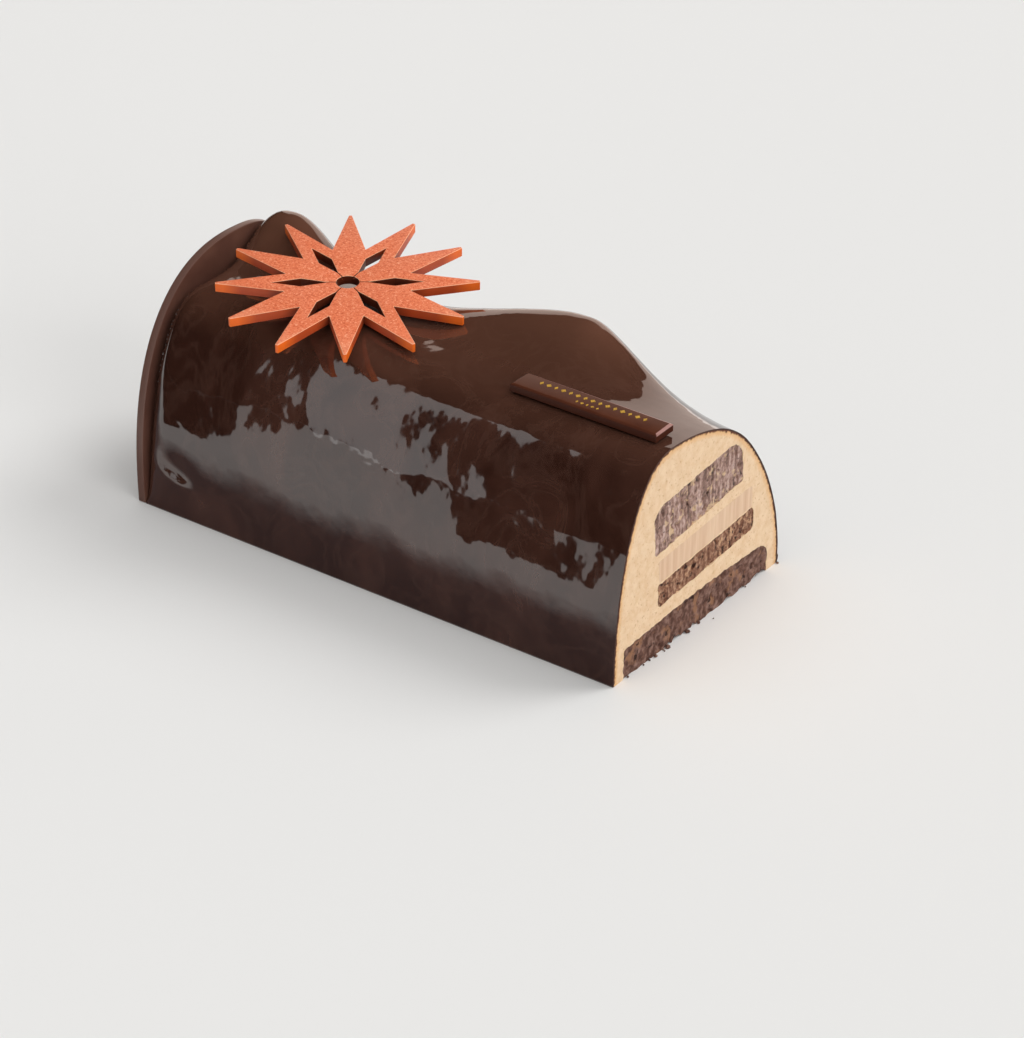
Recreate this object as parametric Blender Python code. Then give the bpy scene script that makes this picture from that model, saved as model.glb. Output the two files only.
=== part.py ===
"""Yule log cake: a glazed mousse log with its layers, an end disc, a star and a name bar.

Units are metres and +Z is up. The log lies along X, its cut face looks towards +X and the
chocolate disc closes the other end. The origin is the middle of the underside.
"""

import math
from typing import NamedTuple

import bmesh
import bpy
from mathutils import Matrix, Vector

# Overall sizes
GAP = 0.0003
HALF_WIDTH = 0.045
LOG_LENGTH = 0.1847
DISC_THICKNESS = 0.003
TOTAL_LENGTH = LOG_LENGTH + GAP + DISC_THICKNESS
CUT_X = TOTAL_LENGTH / 2
END_X = CUT_X - LOG_LENGTH
GLAZE_THICKNESS = 0.0012
GLAZE_LIFT = 0.0003

# The arched section, whose peak lies towards the front
ARCH_HEIGHT = 0.0664
ARCH_PEAK_Y = -0.01665
FRONT_FULLNESS = 2.35
REAR_FULLNESS = 2.0
RIDGE_SLOPE = 0.015

# The end next to the disc curls in
END_ROUNDING = 0.009
END_SHRINK_ACROSS = 0.20
END_SHRINK_UP = 0.12


class Swell(NamedTuple):
    """A rounded rise of the log's top, with its own reach on each of its four sides."""

    from_cut: float
    y: float
    rise: float
    reach_to_disc: float
    reach_to_cut: float
    reach_to_front: float
    reach_to_rear: float
    roundness: float


# The two waves of the ridge, and the low saddle between them
SWELLS = (
    Swell(0.0537, 0.0203, 0.0261, 0.0317, 0.0143, 0.0180, 0.0113, 1.25),
    Swell(0.1733, 0.0248, 0.0307, 0.0275, 0.0138, 0.0181, 0.0225, 1.34),
    Swell(0.1305, -0.0045, 0.0048, 0.0158, 0.0158, 0.0203, 0.0203, 2.0),
)

# Facets round and along the log, which are shorter towards the disc
ARCH_STEPS = 32
LENGTH_STEPS = 40
STATION_SPREAD = 1.4


class Slab(NamedTuple):
    """A layer inside the log, seen on the cut face: y is across, z is up."""

    middle_y: float
    middle_z: float
    width: float
    thickness: float
    tilt_degrees: float
    top_front_radius: float
    top_rear_radius: float
    bottom_radius: float


# The layers, from top to bottom
LAYER_END_X = END_X + 0.010
NUT_CRUNCH = Slab(-0.0020, 0.0439, 0.0470, 0.0152, 6.5, 0.0045, 0.0070, 0.0012)
CARAMEL = Slab(0.0027, 0.0294, 0.0505, 0.0074, 4.0, 0.0008, 0.0012, 0.0008)
SPONGE = Slab(0.0033, 0.0213, 0.0520, 0.0078, 4.0, 0.0008, 0.0020, 0.0012)
CORNER_STEPS = 4
POCKET_OVERRUN = 0.002

# The biscuit base
BASE_FRONT_Y = -0.0398
BASE_REAR_Y = 0.0385
BASE_FRONT_HEIGHT = 0.0098
BASE_HEIGHT = 0.0108
BASE_CROWN = 0.0012
BASE_FRONT_RADIUS = 0.0012
BASE_REAR_RADIUS = 0.0050
BASE_STEPS = 8

# The end disc
DISC_HEIGHT = 0.0792
DISC_PEAK_Y = 0.009
DISC_FULLNESS = 2.4
DISC_STEPS = 48
DISC_EDGE = 0.0003

# The star
STAR_POINTS = 12
STAR_RADIUS = 0.0411
STAR_NOTCH = 0.4935 * STAR_RADIUS
STAR_HOLE = 0.088 * STAR_RADIUS
STAR_TIP_HALF_WIDTH = 0.0005
STAR_THICKNESS = 0.003
STAR_EDGE = 0.00025
STAR_FROM_CUT = 0.1305
STAR_Y = -0.0037
STAR_LEAN = Vector((0.091, -0.102, 0.991))
STAR_TURN_DEGREES = 128.74
WINDOW_INNER = 0.150 * STAR_RADIUS
WINDOW_WIDEST = 0.357 * STAR_RADIUS
WINDOW_HALF_WIDTH = 0.0556 * STAR_RADIUS
WINDOW_OUTER = 0.575 * STAR_RADIUS

# The name bar
BAR_LENGTH = 0.0515
BAR_WIDTH = 0.0088
BAR_THICKNESS = 0.0026
BAR_BEVEL = 0.0012
BAR_BEVEL_DROP = 0.0007
BAR_FROM_CUT = 0.0303
BAR_Y = -0.0150

# How finely the undersides of the star and the bar are tried against the glaze
STAR_TRIALS = 8
BAR_EDGE_TRIALS = 16
BAR_INNER_TRIALS = 4


def clear_scene() -> None:
    """Removes every object of the start-up scene."""
    for item in list(bpy.data.objects):
        bpy.data.objects.remove(item, do_unlink=True)


def make_material(name: str, colour: tuple, roughness: float, coat: float = 0.0):
    """Makes a Principled material with a plain colour."""
    material = bpy.data.materials.new(name)
    material.use_nodes = True
    shader = material.node_tree.nodes["Principled BSDF"]
    shader.inputs["Base Color"].default_value = (*colour, 1.0)
    shader.inputs["Roughness"].default_value = roughness
    shader.inputs["Metallic"].default_value = 0.0
    shader.inputs["Coat Weight"].default_value = coat
    return material


def make_object(name: str, shape: bmesh.types.BMesh, material, smooth_degrees: float = 30.0):
    """Turns a shape into an object of the scene, with its faces pointing out."""
    bmesh.ops.recalc_face_normals(shape, faces=shape.faces[:])
    mesh = bpy.data.meshes.new(name)
    shape.to_mesh(mesh)
    shape.free()
    mesh.shade_smooth()
    mesh.set_sharp_from_angle(angle=math.radians(smooth_degrees))
    mesh.materials.append(material)
    item = bpy.data.objects.new(name, mesh)
    bpy.context.scene.collection.objects.link(item)
    return item


# The log's outer form


def swell_height(x: float, y: float) -> float:
    """Gives how far the waves lift the log's top over a point of the floor plan."""
    from_cut = CUT_X - x
    lift = RIDGE_SLOPE * from_cut
    for swell in SWELLS:
        along, across = from_cut - swell.from_cut, y - swell.y
        reach_along = swell.reach_to_disc if along > 0.0 else swell.reach_to_cut
        reach_across = swell.reach_to_rear if across > 0.0 else swell.reach_to_front
        spread = math.hypot(swell.roundness, along / reach_along)
        lift += swell.rise * math.exp(swell.roundness - spread - (across / reach_across) ** 2)
    return lift


def skin_point(x: float, angle: float, inset: float, start_x: float, lift: float) -> Vector:
    """Gives a point of the log's skin: angle 0 is the front foot and pi is the rear foot."""
    half_width = HALF_WIDTH - inset
    across, up = math.cos(angle), max(math.sin(angle), 0.0)
    if across > 0.0:
        y = ARCH_PEAK_Y - (half_width + ARCH_PEAK_Y) * across ** (2.0 / FRONT_FULLNESS)
    else:
        y = ARCH_PEAK_Y + (half_width - ARCH_PEAK_Y) * abs(across) ** (2.0 / REAR_FULLNESS)
    near_end = min(max(1.0 - (x - start_x) / END_ROUNDING, 0.0), 1.0)
    shrink = (1.0 - math.sqrt(1.0 - near_end ** 2)) * math.sqrt(up)
    rise = (ARCH_HEIGHT - inset - lift) * up + swell_height(x, y) * math.sqrt(up)
    return Vector((x, y * (1.0 - END_SHRINK_ACROSS * shrink), lift + rise * (1.0 - END_SHRINK_UP * shrink)))


def skin_height(x: float, y: float) -> float:
    """Gives the height of the glaze over a point of the floor plan, clear of the ends."""
    if y < ARCH_PEAK_Y:
        share, power = (ARCH_PEAK_Y - y) / (HALF_WIDTH + ARCH_PEAK_Y), FRONT_FULLNESS
    else:
        share, power = (y - ARCH_PEAK_Y) / (HALF_WIDTH - ARCH_PEAK_Y), REAR_FULLNESS
    up = math.sqrt(max(1.0 - min(share, 1.0) ** power, 0.0))
    return ARCH_HEIGHT * up + swell_height(x, y) * math.sqrt(up)


def skin_grid(shape: bmesh.types.BMesh, inset: float, lift: float) -> list:
    """Adds the points of one skin of the log, station by station from the disc end."""
    start_x = END_X + inset
    grid = []
    for station in range(LENGTH_STEPS + 1):
        x = start_x + (CUT_X - start_x) * (station / LENGTH_STEPS) ** STATION_SPREAD
        row = []
        for step in range(ARCH_STEPS + 1):
            angle = math.pi * step / ARCH_STEPS
            row.append(shape.verts.new(skin_point(x, angle, inset, start_x, lift)))
        grid.append(row)
    return grid


def bridge_rows(shape: bmesh.types.BMesh, first: list, second: list) -> None:
    """Joins two rows of points with four-sided faces."""
    for step in range(len(first) - 1):
        shape.faces.new((first[step], first[step + 1], second[step + 1], second[step]))


def add_skin(shape: bmesh.types.BMesh, grid: list) -> None:
    """Joins the points of a skin, and closes it at the disc end."""
    for station in range(LENGTH_STEPS):
        bridge_rows(shape, grid[station], grid[station + 1])
    shape.faces.new(grid[0])


# The nodes


def build_glaze(material):
    """Builds the glaze: a thin coat that is open below and at the cut face."""
    shape = bmesh.new()
    outer = skin_grid(shape, 0.0, GLAZE_LIFT)
    inner = skin_grid(shape, GLAZE_THICKNESS, GLAZE_LIFT)
    add_skin(shape, outer)
    add_skin(shape, inner)
    bridge_rows(shape, outer[-1], inner[-1])
    for foot in (0, ARCH_STEPS):
        bridge_rows(shape, [row[foot] for row in outer], [row[foot] for row in inner])
    bridge_rows(shape, [outer[0][0], outer[0][-1]], [inner[0][0], inner[0][-1]])
    return make_object("glaze_coat", shape, material)


def build_mousse(material, pockets: list):
    """Builds the mousse under the glaze, with a pocket for each layer."""
    shape = bmesh.new()
    grid = skin_grid(shape, GLAZE_THICKNESS + GAP, 0.0)
    add_skin(shape, grid)
    shape.faces.new(grid[-1])
    front_foot = [row[0] for row in grid]
    rear_foot = [row[-1] for row in grid]
    shape.faces.new(front_foot + rear_foot[::-1])
    mousse = make_object("mousse_body", shape, material)
    for pocket in pockets:
        cut = mousse.modifiers.new(pocket.name, "BOOLEAN")
        cut.operation = "DIFFERENCE"
        cut.solver = "EXACT"
        cut.object = pocket
    return mousse


def corner_arc(corner: Vector, before: Vector, after: Vector, radius: float) -> list:
    """Rounds one corner of an outline, between the directions to its neighbours."""
    to_before = (before - corner).normalized()
    to_after = (after - corner).normalized()
    half_angle = to_before.angle(to_after) / 2
    middle = (to_before + to_after).normalized()
    centre = corner + middle * (radius / math.sin(half_angle))
    start = corner + to_before * (radius / math.tan(half_angle)) - centre
    end = corner + to_after * (radius / math.tan(half_angle)) - centre
    points = []
    for step in range(CORNER_STEPS + 1):
        share = step / CORNER_STEPS
        spoke = start.lerp(end, share).normalized() * radius
        points.append(centre + spoke)
    return points


def slab_outline(slab: Slab, grow: float) -> list:
    """Gives a layer's outline as (y, z) points, larger on every side by grow."""
    along = Vector((math.cos(math.radians(slab.tilt_degrees)), math.sin(math.radians(slab.tilt_degrees))))
    upward = Vector((-along.y, along.x))
    middle = Vector((slab.middle_y, slab.middle_z))
    reach = along * (slab.width / 2 + grow)
    rise = upward * (slab.thickness / 2 + grow)
    corners = (middle - reach - rise, middle + reach - rise, middle + reach + rise, middle - reach + rise)
    radii = (slab.bottom_radius, slab.bottom_radius, slab.top_rear_radius, slab.top_front_radius)
    outline = []
    for index, radius in enumerate(radii):
        before, after = corners[index - 1], corners[(index + 1) % len(corners)]
        outline += corner_arc(corners[index], before, after, radius + grow)
    return outline


def base_outline(grow: float, bottom_z: float) -> list:
    """Gives the biscuit base's outline, with a crown and a rounded rear shoulder."""
    front, rear = BASE_FRONT_Y - grow, BASE_REAR_Y + grow
    outline = [Vector((front, bottom_z)), Vector((rear, bottom_z))]
    top_rear = Vector((rear, BASE_HEIGHT + grow))
    top_front = Vector((front, BASE_FRONT_HEIGHT + grow))
    outline += corner_arc(top_rear, Vector((rear, 0.0)), top_front, BASE_REAR_RADIUS)
    shoulder = outline[-1]
    front_arc = corner_arc(top_front, top_rear, Vector((front, 0.0)), BASE_FRONT_RADIUS)
    for step in range(1, BASE_STEPS):
        share = step / BASE_STEPS
        crown = Vector((0.0, BASE_CROWN * math.sin(math.pi * share)))
        outline.append(shoulder.lerp(front_arc[0], share) + crown)
    return outline + front_arc


def build_prism(name: str, outline: list, start_x: float, end_x: float, material):
    """Builds a solid of one outline, given as (y, z) points, along X."""
    shape = bmesh.new()
    start = [shape.verts.new((start_x, point.x, point.y)) for point in outline]
    end = [shape.verts.new((end_x, point.x, point.y)) for point in outline]
    shape.faces.new(start)
    shape.faces.new(end)
    bridge_rows(shape, start + start[:1], end + end[:1])
    return make_object(name, shape, material)


def build_pocket(name: str, outline: list, material):
    """Builds the hidden cutter that hollows the mousse for one layer."""
    pocket = build_prism(name, outline, LAYER_END_X - GAP, CUT_X + POCKET_OVERRUN, material)
    pocket.hide_render = True
    pocket.display_type = "WIRE"
    return pocket


def add_edge_bevel(item, width: float, limit_degrees: float) -> None:
    """Takes the sharp edge off an object."""
    bevel = item.modifiers.new("edge", "BEVEL")
    bevel.width = width
    bevel.segments = 1
    bevel.limit_method = "ANGLE"
    bevel.angle_limit = math.radians(limit_degrees)


def build_disc(material):
    """Builds the arched chocolate disc that closes the end of the log."""
    outline = []
    for step in range(DISC_STEPS + 1):
        angle = math.pi * step / DISC_STEPS
        across, up = math.cos(angle), max(math.sin(angle), 0.0)
        power = 2.0 / DISC_FULLNESS
        reach = HALF_WIDTH + math.copysign(DISC_PEAK_Y, across)
        y = DISC_PEAK_Y - math.copysign(abs(across) ** power, across) * reach
        outline.append(Vector((y, DISC_HEIGHT * up ** power)))
    disc = build_prism("end_disc", outline, -CUT_X, -CUT_X + DISC_THICKNESS, material)
    add_edge_bevel(disc, DISC_EDGE, 50.0)
    return disc


def polar(radius: float, degrees: float) -> Vector:
    """Gives a point of the star's plan."""
    angle = math.radians(degrees)
    return Vector((radius * math.cos(angle), radius * math.sin(angle), 0.0))


def half_point_outline(has_window: bool, side: int) -> list:
    """Gives half of one point of the star, which lies along +X, on the side of +Y or -Y."""
    half_pitch = 180.0 / STAR_POINTS
    outline = [polar(STAR_HOLE, 0.0)]
    if has_window:
        outline.append(Vector((WINDOW_INNER, 0.0, 0.0)))
        outline.append(Vector((WINDOW_WIDEST, side * WINDOW_HALF_WIDTH, 0.0)))
        outline.append(Vector((WINDOW_OUTER, 0.0, 0.0)))
    outline.append(Vector((STAR_RADIUS, 0.0, 0.0)))
    outline.append(Vector((STAR_RADIUS, side * STAR_TIP_HALF_WIDTH, 0.0)))
    outline.append(polar(STAR_NOTCH, side * half_pitch))
    outline.append(polar(STAR_HOLE, side * half_pitch))
    return outline


def star_plan() -> bmesh.types.BMesh:
    """Builds the flat star from halves of its points; every other point has a window."""
    shape = bmesh.new()
    for point in range(STAR_POINTS):
        turn = Matrix.Rotation(2.0 * math.pi * point / STAR_POINTS, 3, "Z")
        for side in (-1, 1):
            outline = half_point_outline(point % 2 == 1, side)
            shape.faces.new([shape.verts.new(turn @ place) for place in outline])
    bmesh.ops.remove_doubles(shape, verts=shape.verts[:], dist=GAP / 10)
    bmesh.ops.recalc_face_normals(shape, faces=shape.faces[:])
    return shape


def star_frame() -> Matrix:
    """Gives the star's turn: its own +Z along the lean, then the turn in its plane."""
    normal = STAR_LEAN.normalized()
    along = Vector((0.0, 1.0, 0.0)).cross(normal).normalized()
    across = normal.cross(along)
    frame = Matrix((along, across, normal)).transposed()
    return frame @ Matrix.Rotation(math.radians(STAR_TURN_DEGREES), 3, "Z")


def resting_height(places: list) -> float:
    """Gives the lift that brings places, on an underside, just clear of the glaze."""
    return max(skin_height(place.x, place.y) - place.z for place in places) + GAP


def build_star(material):
    """Builds the star, which lies on the two waves of the ridge."""
    shape = star_plan()
    solid = bmesh.ops.extrude_face_region(shape, geom=shape.faces[:])
    raised = [item for item in solid["geom"] if isinstance(item, bmesh.types.BMVert)]
    bmesh.ops.translate(shape, verts=raised, vec=(0.0, 0.0, STAR_THICKNESS))
    turn = star_frame()
    middle = Vector((CUT_X - STAR_FROM_CUT, STAR_Y, 0.0))
    for vert in shape.verts:
        vert.co = turn @ vert.co + middle
    underside = [edge.verts[0].co.lerp(edge.verts[1].co, share / STAR_TRIALS) for edge in shape.edges
                 for share in range(STAR_TRIALS + 1)]
    lift = resting_height(underside)
    bmesh.ops.translate(shape, verts=shape.verts[:], vec=(0.0, 0.0, lift))
    star = make_object("star_decoration", shape, material)
    add_edge_bevel(star, STAR_EDGE, 80.0)
    return star


def bar_frame() -> Matrix:
    """Gives the name bar's turn, so that it follows the slope of the glaze under it."""
    middle_x = CUT_X - BAR_FROM_CUT
    run = BAR_LENGTH / 2
    reach = BAR_WIDTH / 2
    fall_along = skin_height(middle_x + run, BAR_Y) - skin_height(middle_x - run, BAR_Y)
    fall_across = skin_height(middle_x, BAR_Y + reach) - skin_height(middle_x, BAR_Y - reach)
    along = Vector((2.0 * run, 0.0, fall_along)).normalized()
    normal = along.cross(Vector((0.0, 2.0 * reach, fall_across))).normalized()
    return Matrix((along, normal.cross(along), normal)).transposed()


def build_bar(material):
    """Builds the name bar: a small chocolate bar with wide bevels round its top."""
    shape = bmesh.new()
    shoulder = BAR_THICKNESS - BAR_BEVEL_DROP
    rings = []
    for height, inset in ((0.0, 0.0), (shoulder, 0.0), (BAR_THICKNESS, BAR_BEVEL)):
        reach_x, reach_y = BAR_LENGTH / 2 - inset, BAR_WIDTH / 2 - inset
        corners = ((-reach_x, -reach_y), (reach_x, -reach_y), (reach_x, reach_y), (-reach_x, reach_y))
        rings.append([shape.verts.new((x, y, height)) for x, y in corners])
    for lower, upper in zip(rings, rings[1:]):
        bridge_rows(shape, lower + lower[:1], upper + upper[:1])
    shape.faces.new(rings[0])
    shape.faces.new(rings[-1])
    turn = bar_frame()
    middle = Vector((CUT_X - BAR_FROM_CUT, BAR_Y, 0.0))
    for vert in shape.verts:
        vert.co = turn @ vert.co + middle
    foot = [rings[0][index].co.lerp(rings[0][index - 1].co, share / BAR_EDGE_TRIALS) for index in range(4)
            for share in range(BAR_EDGE_TRIALS + 1)]
    inner = [place.lerp(middle, share / BAR_INNER_TRIALS) for place in foot
             for share in range(1, BAR_INNER_TRIALS + 1)]
    lift = resting_height(foot + inner)
    bmesh.ops.translate(shape, verts=shape.verts[:], vec=(0.0, 0.0, lift))
    return make_object("name_bar", shape, material)


def build_cake() -> None:
    """Builds every piece of the cake."""
    clear_scene()
    dark_glaze = make_material("dark_glaze", (0.030, 0.012, 0.008), 0.06, 1.0)
    mousse_cream = make_material("mousse_cream", (0.74, 0.50, 0.28), 0.75)
    nut_crunch = make_material("nut_crunch", (0.10, 0.058, 0.045), 0.60)
    caramel_cream = make_material("caramel_cream", (0.58, 0.38, 0.26), 0.45)
    cocoa_sponge = make_material("cocoa_sponge", (0.085, 0.040, 0.026), 0.85)
    biscuit = make_material("cocoa_biscuit", (0.11, 0.055, 0.033), 0.90)
    disc_chocolate = make_material("disc_chocolate", (0.055, 0.022, 0.015), 0.35)
    orange_chocolate = make_material("orange_chocolate", (0.60, 0.155, 0.075), 0.45)
    bar_chocolate = make_material("bar_chocolate", (0.070, 0.024, 0.015), 0.30)

    layers = (
        ("nut_crunch_insert", NUT_CRUNCH, nut_crunch),
        ("caramel_layer", CARAMEL, caramel_cream),
        ("sponge_layer", SPONGE, cocoa_sponge),
    )
    pockets = []
    for name, slab, material in layers:
        build_prism(name, slab_outline(slab, 0.0), LAYER_END_X, CUT_X, material)
        pockets.append(build_pocket(f"pocket_{name}", slab_outline(slab, GAP), material))
    build_prism("biscuit_base", base_outline(0.0, 0.0), LAYER_END_X, CUT_X, biscuit)
    pockets.append(build_pocket("pocket_base", base_outline(GAP, -POCKET_OVERRUN), biscuit))

    build_mousse(mousse_cream, pockets)
    build_glaze(dark_glaze)
    build_disc(disc_chocolate)
    build_star(orange_chocolate)
    build_bar(bar_chocolate)


build_cake()
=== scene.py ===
"""Yule log cake: a glazed mousse log cut at one end, with an end disc, a star and a name bar.

Units are metres, +Z is up, the log lies along X and its cut face looks towards +X.
"""

import logging
import math
from dataclasses import dataclass
from enum import Enum
from typing import Any, Callable, Iterable

import bpy
import numpy as np
from mathutils import Matrix, Vector, noise
from mathutils.geometry import delaunay_2d_cdt


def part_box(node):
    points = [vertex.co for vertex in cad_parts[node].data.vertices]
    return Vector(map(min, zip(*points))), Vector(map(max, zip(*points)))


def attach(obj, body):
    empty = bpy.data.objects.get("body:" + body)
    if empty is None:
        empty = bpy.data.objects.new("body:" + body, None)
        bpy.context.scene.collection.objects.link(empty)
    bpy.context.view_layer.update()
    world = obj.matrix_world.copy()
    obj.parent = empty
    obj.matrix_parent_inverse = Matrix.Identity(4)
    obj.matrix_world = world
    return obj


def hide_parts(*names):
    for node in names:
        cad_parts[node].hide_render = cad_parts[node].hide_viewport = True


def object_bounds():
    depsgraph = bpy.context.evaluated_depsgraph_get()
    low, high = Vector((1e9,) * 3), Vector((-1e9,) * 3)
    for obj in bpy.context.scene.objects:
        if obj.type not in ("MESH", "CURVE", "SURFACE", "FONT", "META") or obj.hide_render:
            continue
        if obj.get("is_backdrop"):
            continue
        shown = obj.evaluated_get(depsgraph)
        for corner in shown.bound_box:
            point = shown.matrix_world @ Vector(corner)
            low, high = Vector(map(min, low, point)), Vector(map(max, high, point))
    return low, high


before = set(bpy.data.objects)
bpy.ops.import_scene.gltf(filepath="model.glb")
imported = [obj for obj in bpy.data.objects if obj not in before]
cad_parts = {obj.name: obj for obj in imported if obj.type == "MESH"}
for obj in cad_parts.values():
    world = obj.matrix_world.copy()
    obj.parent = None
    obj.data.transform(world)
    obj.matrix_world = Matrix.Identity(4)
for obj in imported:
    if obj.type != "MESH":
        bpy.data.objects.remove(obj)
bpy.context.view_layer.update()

LOG = logging.getLogger("yule_log")
MM = 0.001
ROOT = "root"
RIM_NOTE = "rim_mm"
WARM_GLOW = (1.0, 0.7, 0.45)
RANGE_INPUTS = ("From Min", "From Max", "To Min", "To Max")
HASH_WEIGHTS = (12.9898, 78.233, 37.719)
HASH_SCALE = 43758.5453
ALL_SMOOTH = 180.0


class Slot(str, Enum):
    """The record's material slots."""

    GLAZE = "dark_glaze"
    MOUSSE = "mousse"
    NUT = "nut_crunch"
    CARAMEL = "caramel"
    SPONGE = "sponge"
    BISCUIT = "biscuit"
    DISC = "disc_chocolate"
    ORANGE = "orange_chocolate"
    BAR = "bar_chocolate"


# Small tools


def srgb(code: str) -> tuple[float, float, float, float]:
    """Turns an sRGB hex colour to linear.

    Args:
        code: six hex digits after a hash.

    Returns:
        Linear red, green and blue, with an alpha of 1.
    """
    channels = [int(code[place:place + 2], 16) / 255 for place in (1, 3, 5)]
    linear = [c / 12.92 if c <= 0.04045 else ((c + 0.055) / 1.055) ** 2.4 for c in channels]
    return (*linear, 1.0)


def per_mm(size: float) -> float:
    """Gives the texture scale, in metres, that makes a pattern's cells size millimetres wide."""
    return 1.0 / (size * MM)


def socket_of(source: Any) -> Any:
    """Gives a node's first output that is in use, or a socket as it is."""
    if isinstance(source, bpy.types.Node):
        return next(socket for socket in source.outputs if socket.enabled)
    return source


def add_node(tree: Any, kind: str, settings: dict | None = None, links: dict | None = None) -> Any:
    """Adds a node to a material.

    Args:
        tree: the material's node tree.
        kind: the node's type, without its prefix.
        settings: attribute or input names (or input numbers) with their values; "stops" holds
            the (position, hex colour) pairs of a colour ramp, and "range" what a map range
            takes from and to.
        links: input names or numbers with the nodes or sockets that feed them.

    Returns:
        The new node.
    """
    node = tree.nodes.new("ShaderNode" + kind)
    for key, value in (settings or {}).items():
        if key == "stops":
            stops = node.color_ramp.elements
            while len(stops) < len(value):
                stops.new(1.0)
            for stop, (position, code) in zip(stops, value):
                stop.position, stop.color = position, srgb(code)
        elif key == "range":
            for name, number in zip(RANGE_INPUTS, value):
                node.inputs[name].default_value = number
        elif isinstance(key, str) and hasattr(node, key):
            setattr(node, key, value)
        else:
            node.inputs[key].default_value = value
    for key, source in (links or {}).items():
        tree.links.new(socket_of(source), node.inputs[key])
    return node


def clear_selection() -> None:
    """Leaves edit mode and deselects everything."""
    if bpy.context.mode != "OBJECT":
        bpy.ops.object.mode_set(mode="OBJECT")
    bpy.ops.object.select_all(action="DESELECT")


def take_new(name: str) -> bpy.types.Object:
    """Names the primitive that was just added, and returns it."""
    item = bpy.context.active_object
    item.name = item.data.name = name
    return item


def make_active(item: bpy.types.Object) -> None:
    """Selects one object alone and makes it active."""
    clear_selection()
    item.select_set(True)
    bpy.context.view_layer.objects.active = item


def pick_faces(item: bpy.types.Object, test: Callable[[Any], bool]) -> None:
    """Selects the faces that pass a test, and opens edit mode on them.

    Args:
        item: the object to edit.
        test: takes a polygon and says whether it is picked.
    """
    make_active(item)
    mesh = item.data
    mesh.vertices.foreach_set("select", [False] * len(mesh.vertices))
    mesh.edges.foreach_set("select", [False] * len(mesh.edges))
    for face in mesh.polygons:
        face.select = test(face)
    bpy.ops.object.mode_set(mode="EDIT")
    bpy.ops.mesh.select_mode(type="FACE")


def apply_modifier(item: bpy.types.Object, kind: str, settings: dict) -> None:
    """Adds a modifier with its settings and applies it.

    Args:
        item: the object that takes the modifier.
        kind: the modifier's type.
        settings: attribute names with their values.
    """
    make_active(item)
    modifier = item.modifiers.new(kind.lower(), kind)
    for key, value in settings.items():
        setattr(modifier, key, value)
    bpy.ops.object.modifier_apply(modifier=modifier.name)


def ease_edges(item: bpy.types.Object, width: float, sharp_degrees: float, segments: int = 3) -> None:
    """Rounds an object's sharp edges.

    Args:
        item: the object.
        width: how far from the edge the rounding starts.
        sharp_degrees: edges blunter than this are left alone.
        segments: how many faces make the rounding.
    """
    apply_modifier(item, "BEVEL", {"width": width, "segments": segments, "limit_method": "ANGLE",
                                   "angle_limit": math.radians(sharp_degrees)})


def draw_out(item: bpy.types.Object, step: tuple[float, float, float]) -> None:
    """Extrudes a flat object's faces along a step."""
    pick_faces(item, lambda face: True)
    bpy.ops.mesh.extrude_region_move(TRANSFORM_OT_translate={"value": step})
    bpy.ops.object.mode_set(mode="OBJECT")


def face_outwards(item: bpy.types.Object) -> None:
    """Points an object's faces outwards."""
    pick_faces(item, lambda face: True)
    bpy.ops.mesh.normals_make_consistent(inside=False)
    bpy.ops.object.mode_set(mode="OBJECT")


def finish_faces(item: bpy.types.Object, smooth_degrees: float) -> None:
    """Points an object's faces outwards and smooths it up to an angle.

    Args:
        item: the object.
        smooth_degrees: edges sharper than this stay sharp.
    """
    face_outwards(item)
    bpy.ops.object.shade_smooth_by_angle(angle=math.radians(smooth_degrees))


def place_mesh(item: bpy.types.Object, place: Matrix) -> None:
    """Moves an object's mesh to its place and leaves the object itself at the origin."""
    item.data.transform(place)
    item.data.update()


def mesh_object(name: str, points: Iterable, faces: Iterable) -> bpy.types.Object:
    """Makes an object from points and faces.

    Args:
        name: the object's name.
        points: the places of the vertices.
        faces: tuples of vertex numbers.

    Returns:
        The new object, linked to the scene.
    """
    mesh = bpy.data.meshes.new(name)
    mesh.from_pydata([tuple(point) for point in points], [], [tuple(face) for face in faces])
    mesh.validate()
    item = bpy.data.objects.new(name, mesh)
    bpy.context.scene.collection.objects.link(item)
    return item


def scatter(name: str, count: int, mould: Callable[[int], Callable]) -> bpy.types.Object:
    """Makes many small balls as one object.

    Args:
        name: the object's name.
        count: how many balls.
        mould: takes a ball's number and gives what moves a point of the unit ball to its place.

    Returns:
        The new object, linked to the scene.
    """
    clear_selection()
    bpy.ops.mesh.primitive_ico_sphere_add(subdivisions=2, radius=1.0)
    ball = take_new(name + "_shape")
    points, faces = [], []
    for index in range(count):
        shape, first = mould(index), len(points)
        points += [shape(vertex.co) for vertex in ball.data.vertices]
        faces += [tuple(first + v for v in face.vertices) for face in ball.data.polygons]
    bpy.data.objects.remove(ball, do_unlink=True)
    return mesh_object(name, points, faces)


def lie_along(along: Vector, normal: Vector) -> Matrix:
    """Gives the turn that lays X along one direction and Z along another, square to it."""
    return Matrix((along, normal.cross(along), normal)).transposed().to_4x4()


def settle(item: bpy.types.Object, finish: bpy.types.Material, slot: Slot,
           replaced: str | None = None) -> None:
    """Gives a piece its finish and its body, and reports it.

    Args:
        item: the finished piece.
        finish: its material.
        slot: the record's slot that the finish belongs to; not used.
        replaced: the CAD node that the piece stands for, if any.
    """
    item.data.materials.clear()
    item.data.materials.append(finish)
    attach(item, ROOT)
    if replaced:
        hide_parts(replaced)
    LOG.info("%s: %d faces", item.name, len(item.data.polygons))


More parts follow.
